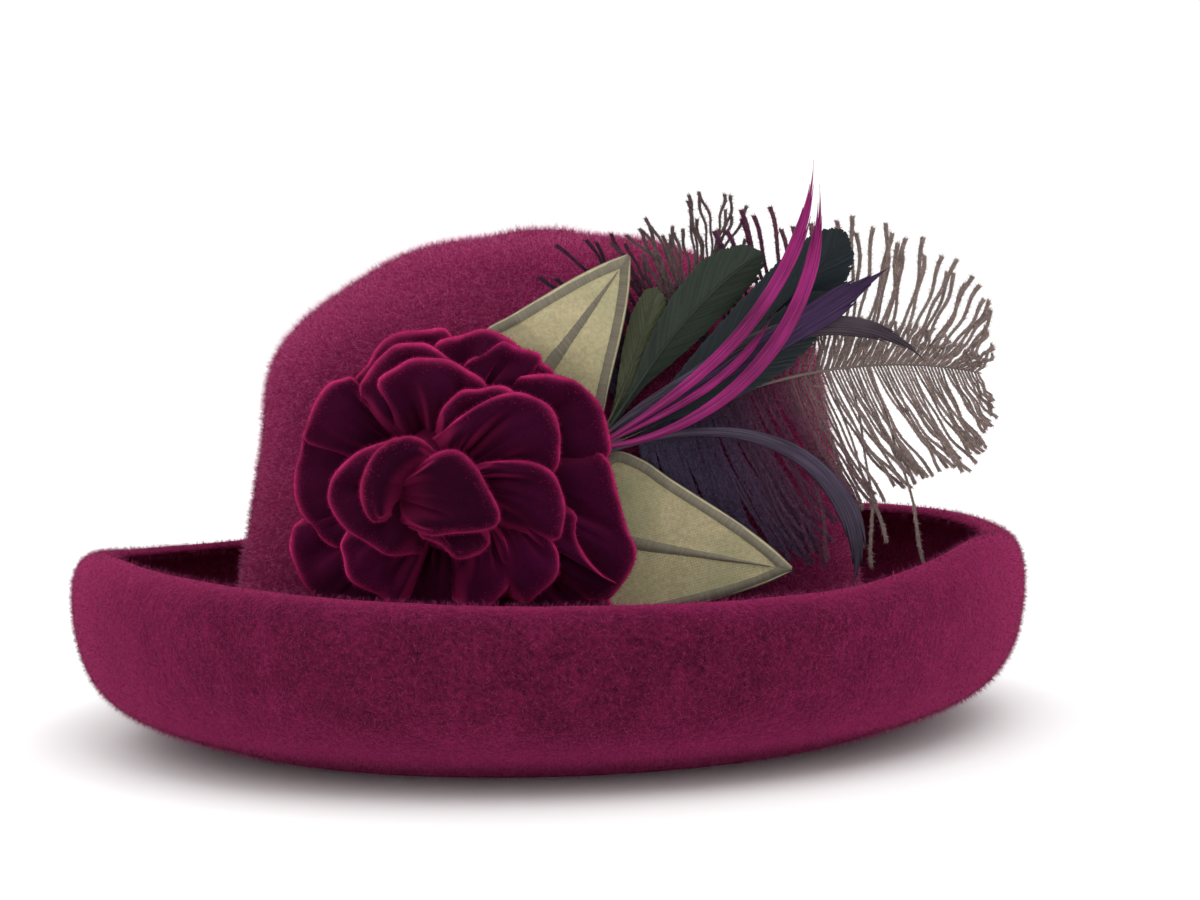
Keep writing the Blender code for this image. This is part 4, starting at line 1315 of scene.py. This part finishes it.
def build_coque(row, step, mat, shaft_mat):
    name, slot, blade, rise, layer, reach, heading, turn, power, half = row
    pts = shaft_path(rise, reach, heading, turn, power)
    table = smooth_table(BLADES[blade])
    rng = random.Random(name)
    real = reach * FEATHER_L
    half = 1.12 * half * FEATHER_HALF_W
    rows = []
    for side in (1, -1):
        share, clump = 0.05, 0.0
        while share < 0.985:
            p, d = on_path(pts, share)
            if rng.random() < 0.03:
                clump = rng.uniform(-0.04, 0.04)
            angle = math.radians(44.0 - 22.0 * share + rng.uniform(-1.2, 1.2)) + clump
            size = vane_reach(share, angle, real, half, table) * rng.uniform(0.95, 1.03)
            if size > 0.0012:
                rows.append(flat_strand(p, turned(d, side * angle), size, -10.0 * side, layer,
                                        rng.uniform(0.0, 0.0005), 0.00055, rng.random(), share, 0.22 * side))
            share += step / real
    source = strand_points(name + "_barbs", rows)
    vane = grown(source, strand_tree(), name + "_vane", {**VANE, "Material": mat})
    stem = spine(name + "_stem", pts, layer, 0.0006, 0.0006, 0.95, shaft_mat)
    settle(vane, [name])
    settle(stem, [name])


class CLOCHE_OT_coques(bpy.types.Operator):
    """Sets the coque feathers barb by barb"""
    bl_idname = "cloche.coques"
    bl_label = "Coque Feathers"

    def execute(self, context):
        s = context.scene.cloche_feather
        mats = {}
        for key in ("coque_dark", "coque_green", "coque_olive"):
            c = getattr(s, key)
            vane = strand_material(key, rgba(c, 0.5), rgba(c, 1.5), rgba(c, 0.9), 0.5, Roughness=0.46,
                                   Specular_IOR_Level=0.22, Sheen_Weight=0.03, Sheen_Tint=rgba(c, 6.0, 0.1))
            mats[key] = vane[0], quill_material(key + "_shaft", rgba(c, 0.8, 0.01), 0.45)
        for row in COQUES:
            build_coque(row, s.barb_step, *mats[row[1]])
        return {"FINISHED"}


def build_plume(row, s, mat, fluff, shaft_mat):
    name, rise, layer, reach, heading, turn, power = row
    pts = shaft_path(rise, reach, heading, turn, power)
    rng = random.Random(name)
    rows = []
    for plume, side, count, first, last, droop, loose, half, sizes in BARBS:
        if plume != name:
            continue
        swing = 0.0
        gap = (sizes[-1][0] - sizes[0][0]) / count * reach * FEATHER_L
        shortest = 0.66 if loose > 2.0 else 0.88
        for i in range(count):
            f = i / (count - 1)
            share = sizes[0][0] + (sizes[-1][0] - sizes[0][0]) * f
            p, d = on_path(pts, share)
            if i % 3 == 0:
                swing = rng.uniform(-2.6, 2.6) * loose
            gather = (i % 3 - 1) * 0.55 * math.degrees(gap / max(0.2, lerp_table(sizes, share)) / BARB_L)
            angle = first + (last - first) * f + swing + gather + rng.uniform(-0.9, 0.9) * loose
            size = lerp_table(sizes, share) * BARB_L * rng.uniform(shortest, 1.06)
            bend = -2.4 * droop * side + rng.uniform(-7.0, 7.0) * loose
            depth = rng.uniform(-0.0004, 0.0030 if share > 0.34 else 0.0010)
            rows.append(flat_strand(p, turned(d, side * math.radians(angle)), size, bend, layer, depth,
                                    half, rng.random(), share, 0.1))
    source = strand_points(name + "_barbs", rows)
    barbs = grown(source, strand_tree(), name + "_barb_lines", {**BARB, "Material": mat})
    along = [0.0] * len(barbs.data.vertices)
    barbs.data.attributes["along"].data.foreach_get("value", along)
    set_values(barbs, "nap", [0.55 + 0.65 * t for t in along])
    down = grown(barbs, nap_tree(), name + "_barbules",
                 {**DOWN, "Length": s.barbule, "Material": fluff}, keep_source=True)
    stem = spine(name + "_stem", pts, layer, 0.0008, 0.0, 1.0, shaft_mat)
    for piece in (barbs, down, stem):
        settle(piece, [name])


class CLOCHE_OT_plumes(bpy.types.Operator):
    """Sets the two ostrich plumes with their barbs and fluff"""
    bl_idname = "cloche.plumes"
    bl_label = "Ostrich Plumes"

    def execute(self, context):
        s = context.scene.cloche_feather
        for row, c in zip(PLUMES, (s.ostrich, s.ostrich_dark)):
            made = []
            for name, deep, light in PLUME_FINISHES:
                mat, tree, shader, straight = strand_material(
                    row[0] + name, rgba(c, deep), rgba(c, light), rgba(c, light * 1.2), 0.4,
                    Roughness=0.75, Specular_IOR_Level=0.2)
                dye = ramp(tree, attribute(tree, "share"), PLUME_DYE)
                coloured(tree, shader, mix(tree, 1.0, straight, dye, "MULTIPLY"))
                made.append(mat)
            build_plume(row, s, *made, quill_material(row[0] + "_shaft", rgba(c, 0.55), 0.5))
        return {"FINISHED"}


class CLOCHE_OT_binding(bpy.types.Operator):
    """Winds thread round the roots of the spray"""
    bl_idname = "cloche.binding"
    bl_label = "Spray Binding"

    def execute(self, context):
        front = root_depth(0) - SPRAY_LAYER * 0.5
        back = root_depth(LAYERS - 1) + SPRAY_LAYER * 0.5
        mid, half = 0.5 * (front + back), 0.5 * (back - front)
        thread = pile_material("binding_thread", (0.035, 0.028, 0.030), (0.085, 0.070, 0.070), 300.0, 2500.0,
                               0.5, 0.0002, Roughness=0.6, Specular_IOR_Level=0.3, Sheen_Weight=0.2)[0]
        rings = []
        for along, share in BINDING_ROWS:
            rings.append([Vector((SPRAY_X - along * BINDING_L, mid + half * share * math.cos(a),
                                  SPRAY_Z + BUNDLE_HALF_H * share * math.sin(a))) for a in turns(32)])
        core = lofted("binding_core", rings, thread)
        source = new_piece("binding_source", [(0.0, 0.0, 0.0)], [], None, turn=False)
        coil = grown(source, winding_tree(), "binding_winding", {
            "Turns": 15.0, "Length": BINDING_L * 0.86, "Half Depth": half * 0.97,
            "Half Height": BUNDLE_HALF_H * 0.97, "Thread": 0.00028,
            "Centre": (SPRAY_X - BINDING_L * 0.05, mid, SPRAY_Z), "Material": thread})
        settle(core, ["spray_binding"])
        settle(coil, ["spray_binding"])
        return {"FINISHED"}


# Stage
def aimed(piece, place, target):
    """Stands a lamp or camera at a place and turns it to its target."""
    piece.location = place
    piece.rotation_mode = "QUATERNION"
    piece.rotation_quaternion = (Vector(target) - Vector(place)).to_track_quat("-Z", "Y")
    bpy.context.scene.collection.objects.link(piece)
    return piece


def soft_light(name, place, size, power):
    data = bpy.data.lights.new(name, "AREA")
    data.shape = "RECTANGLE"
    data.size = data.size_y = size
    data.energy = power
    aimed(bpy.data.objects.new(name, data), place, MIDDLE)


class CLOCHE_OT_stage(bpy.types.Operator):
    """Lays the pale floor and sets the soft light and the camera"""
    bl_idname = "cloche.stage"
    bl_label = "Stage"

    def execute(self, context):
        s = context.scene.cloche_stage
        scene = context.scene
        scene.view_settings.view_transform = "Standard"
        mat, tree, shader = finish_material("pale_floor", Roughness=0.7, Specular_IOR_Level=0.2)
        stops = [(0.3, (0.968, 0.968, 0.968, 1.0)), (0.7, (0.985, 0.985, 0.98, 1.0))]
        coloured(tree, shader, ramp(tree, clouds(tree, 3.0, 3.0), stops))
        edge = s.floor_size
        corners = [(-edge, -edge, 0.0), (edge, -edge, 0.0), (edge, edge, 0.0), (-edge, edge, 0.0)]
        floor = new_piece("floor", corners, [(0, 1, 2, 3)], mat, turn=False)
        scene.world = bpy.data.worlds.new("soft_surround")
        scene.world.use_nodes = True
        surround = scene.world.node_tree.nodes["Background"].inputs
        surround["Color"].default_value = (1.0, 1.0, 1.0, 1.0)
        surround["Strength"].default_value = s.sky
        soft_light("key_light", (0.35, -0.35, 1.35), 1.2, s.key)
        soft_light("rim_light", (-0.9, 1.0, 0.9), 1.0, s.key * 0.8)
        data = bpy.data.cameras.new("camera")
        data.lens = s.lens
        data.sensor_width = 36.0
        camera = aimed(bpy.data.objects.new("camera", data), EYE, TARGET)
        roll = Matrix.Rotation(math.radians(ROLL), 3, "Z").to_quaternion()
        camera.rotation_quaternion = camera.rotation_quaternion @ roll
        scene.camera = camera
        return {"FINISHED"}


class CLOCHE_PT_panel(bpy.types.Panel):
    """Lists the hat's pieces and their settings"""
    bl_label = "Cloche Hat"
    bl_idname = "CLOCHE_PT_panel"
    bl_space_type = "VIEW_3D"
    bl_region_type = "UI"
    bl_category = "Cloche Hat"

    def draw(self, context):
        layout = self.layout
        for kind in OPERATORS:
            layout.operator(kind.bl_idname, text=kind.bl_label)
        for key, kind in SETTINGS:
            box = layout.box()
            box.label(text=kind.__doc__)
            for prop in kind.__annotations__:
                box.prop(getattr(context.scene, key), prop)


SETTINGS = [("cloche_felt", FeltSettings), ("cloche_rose", RoseSettings), ("cloche_leaf", LeafSettings),
            ("cloche_feather", FeatherSettings), ("cloche_stage", StageSettings)]
OPERATORS = [CLOCHE_OT_felt, CLOCHE_OT_rose, CLOCHE_OT_leaves, CLOCHE_OT_binding, CLOCHE_OT_quills,
             CLOCHE_OT_coques, CLOCHE_OT_plumes, CLOCHE_OT_stage]


def register():
    for key, kind in SETTINGS:
        bpy.utils.register_class(kind)
        setattr(bpy.types.Scene, key, bpy.props.PointerProperty(type=kind))
    for kind in OPERATORS + [CLOCHE_PT_panel]:
        bpy.utils.register_class(kind)


def unregister():
    for kind in reversed(OPERATORS + [CLOCHE_PT_panel]):
        bpy.utils.unregister_class(kind)
    for key, kind in reversed(SETTINGS):
        delattr(bpy.types.Scene, key)
        bpy.utils.unregister_class(kind)


def main():
    register()
    for kind in OPERATORS:
        family, name = kind.bl_idname.split(".")
        getattr(getattr(bpy.ops, family), name)()


if __name__ == "__main__":
    main()
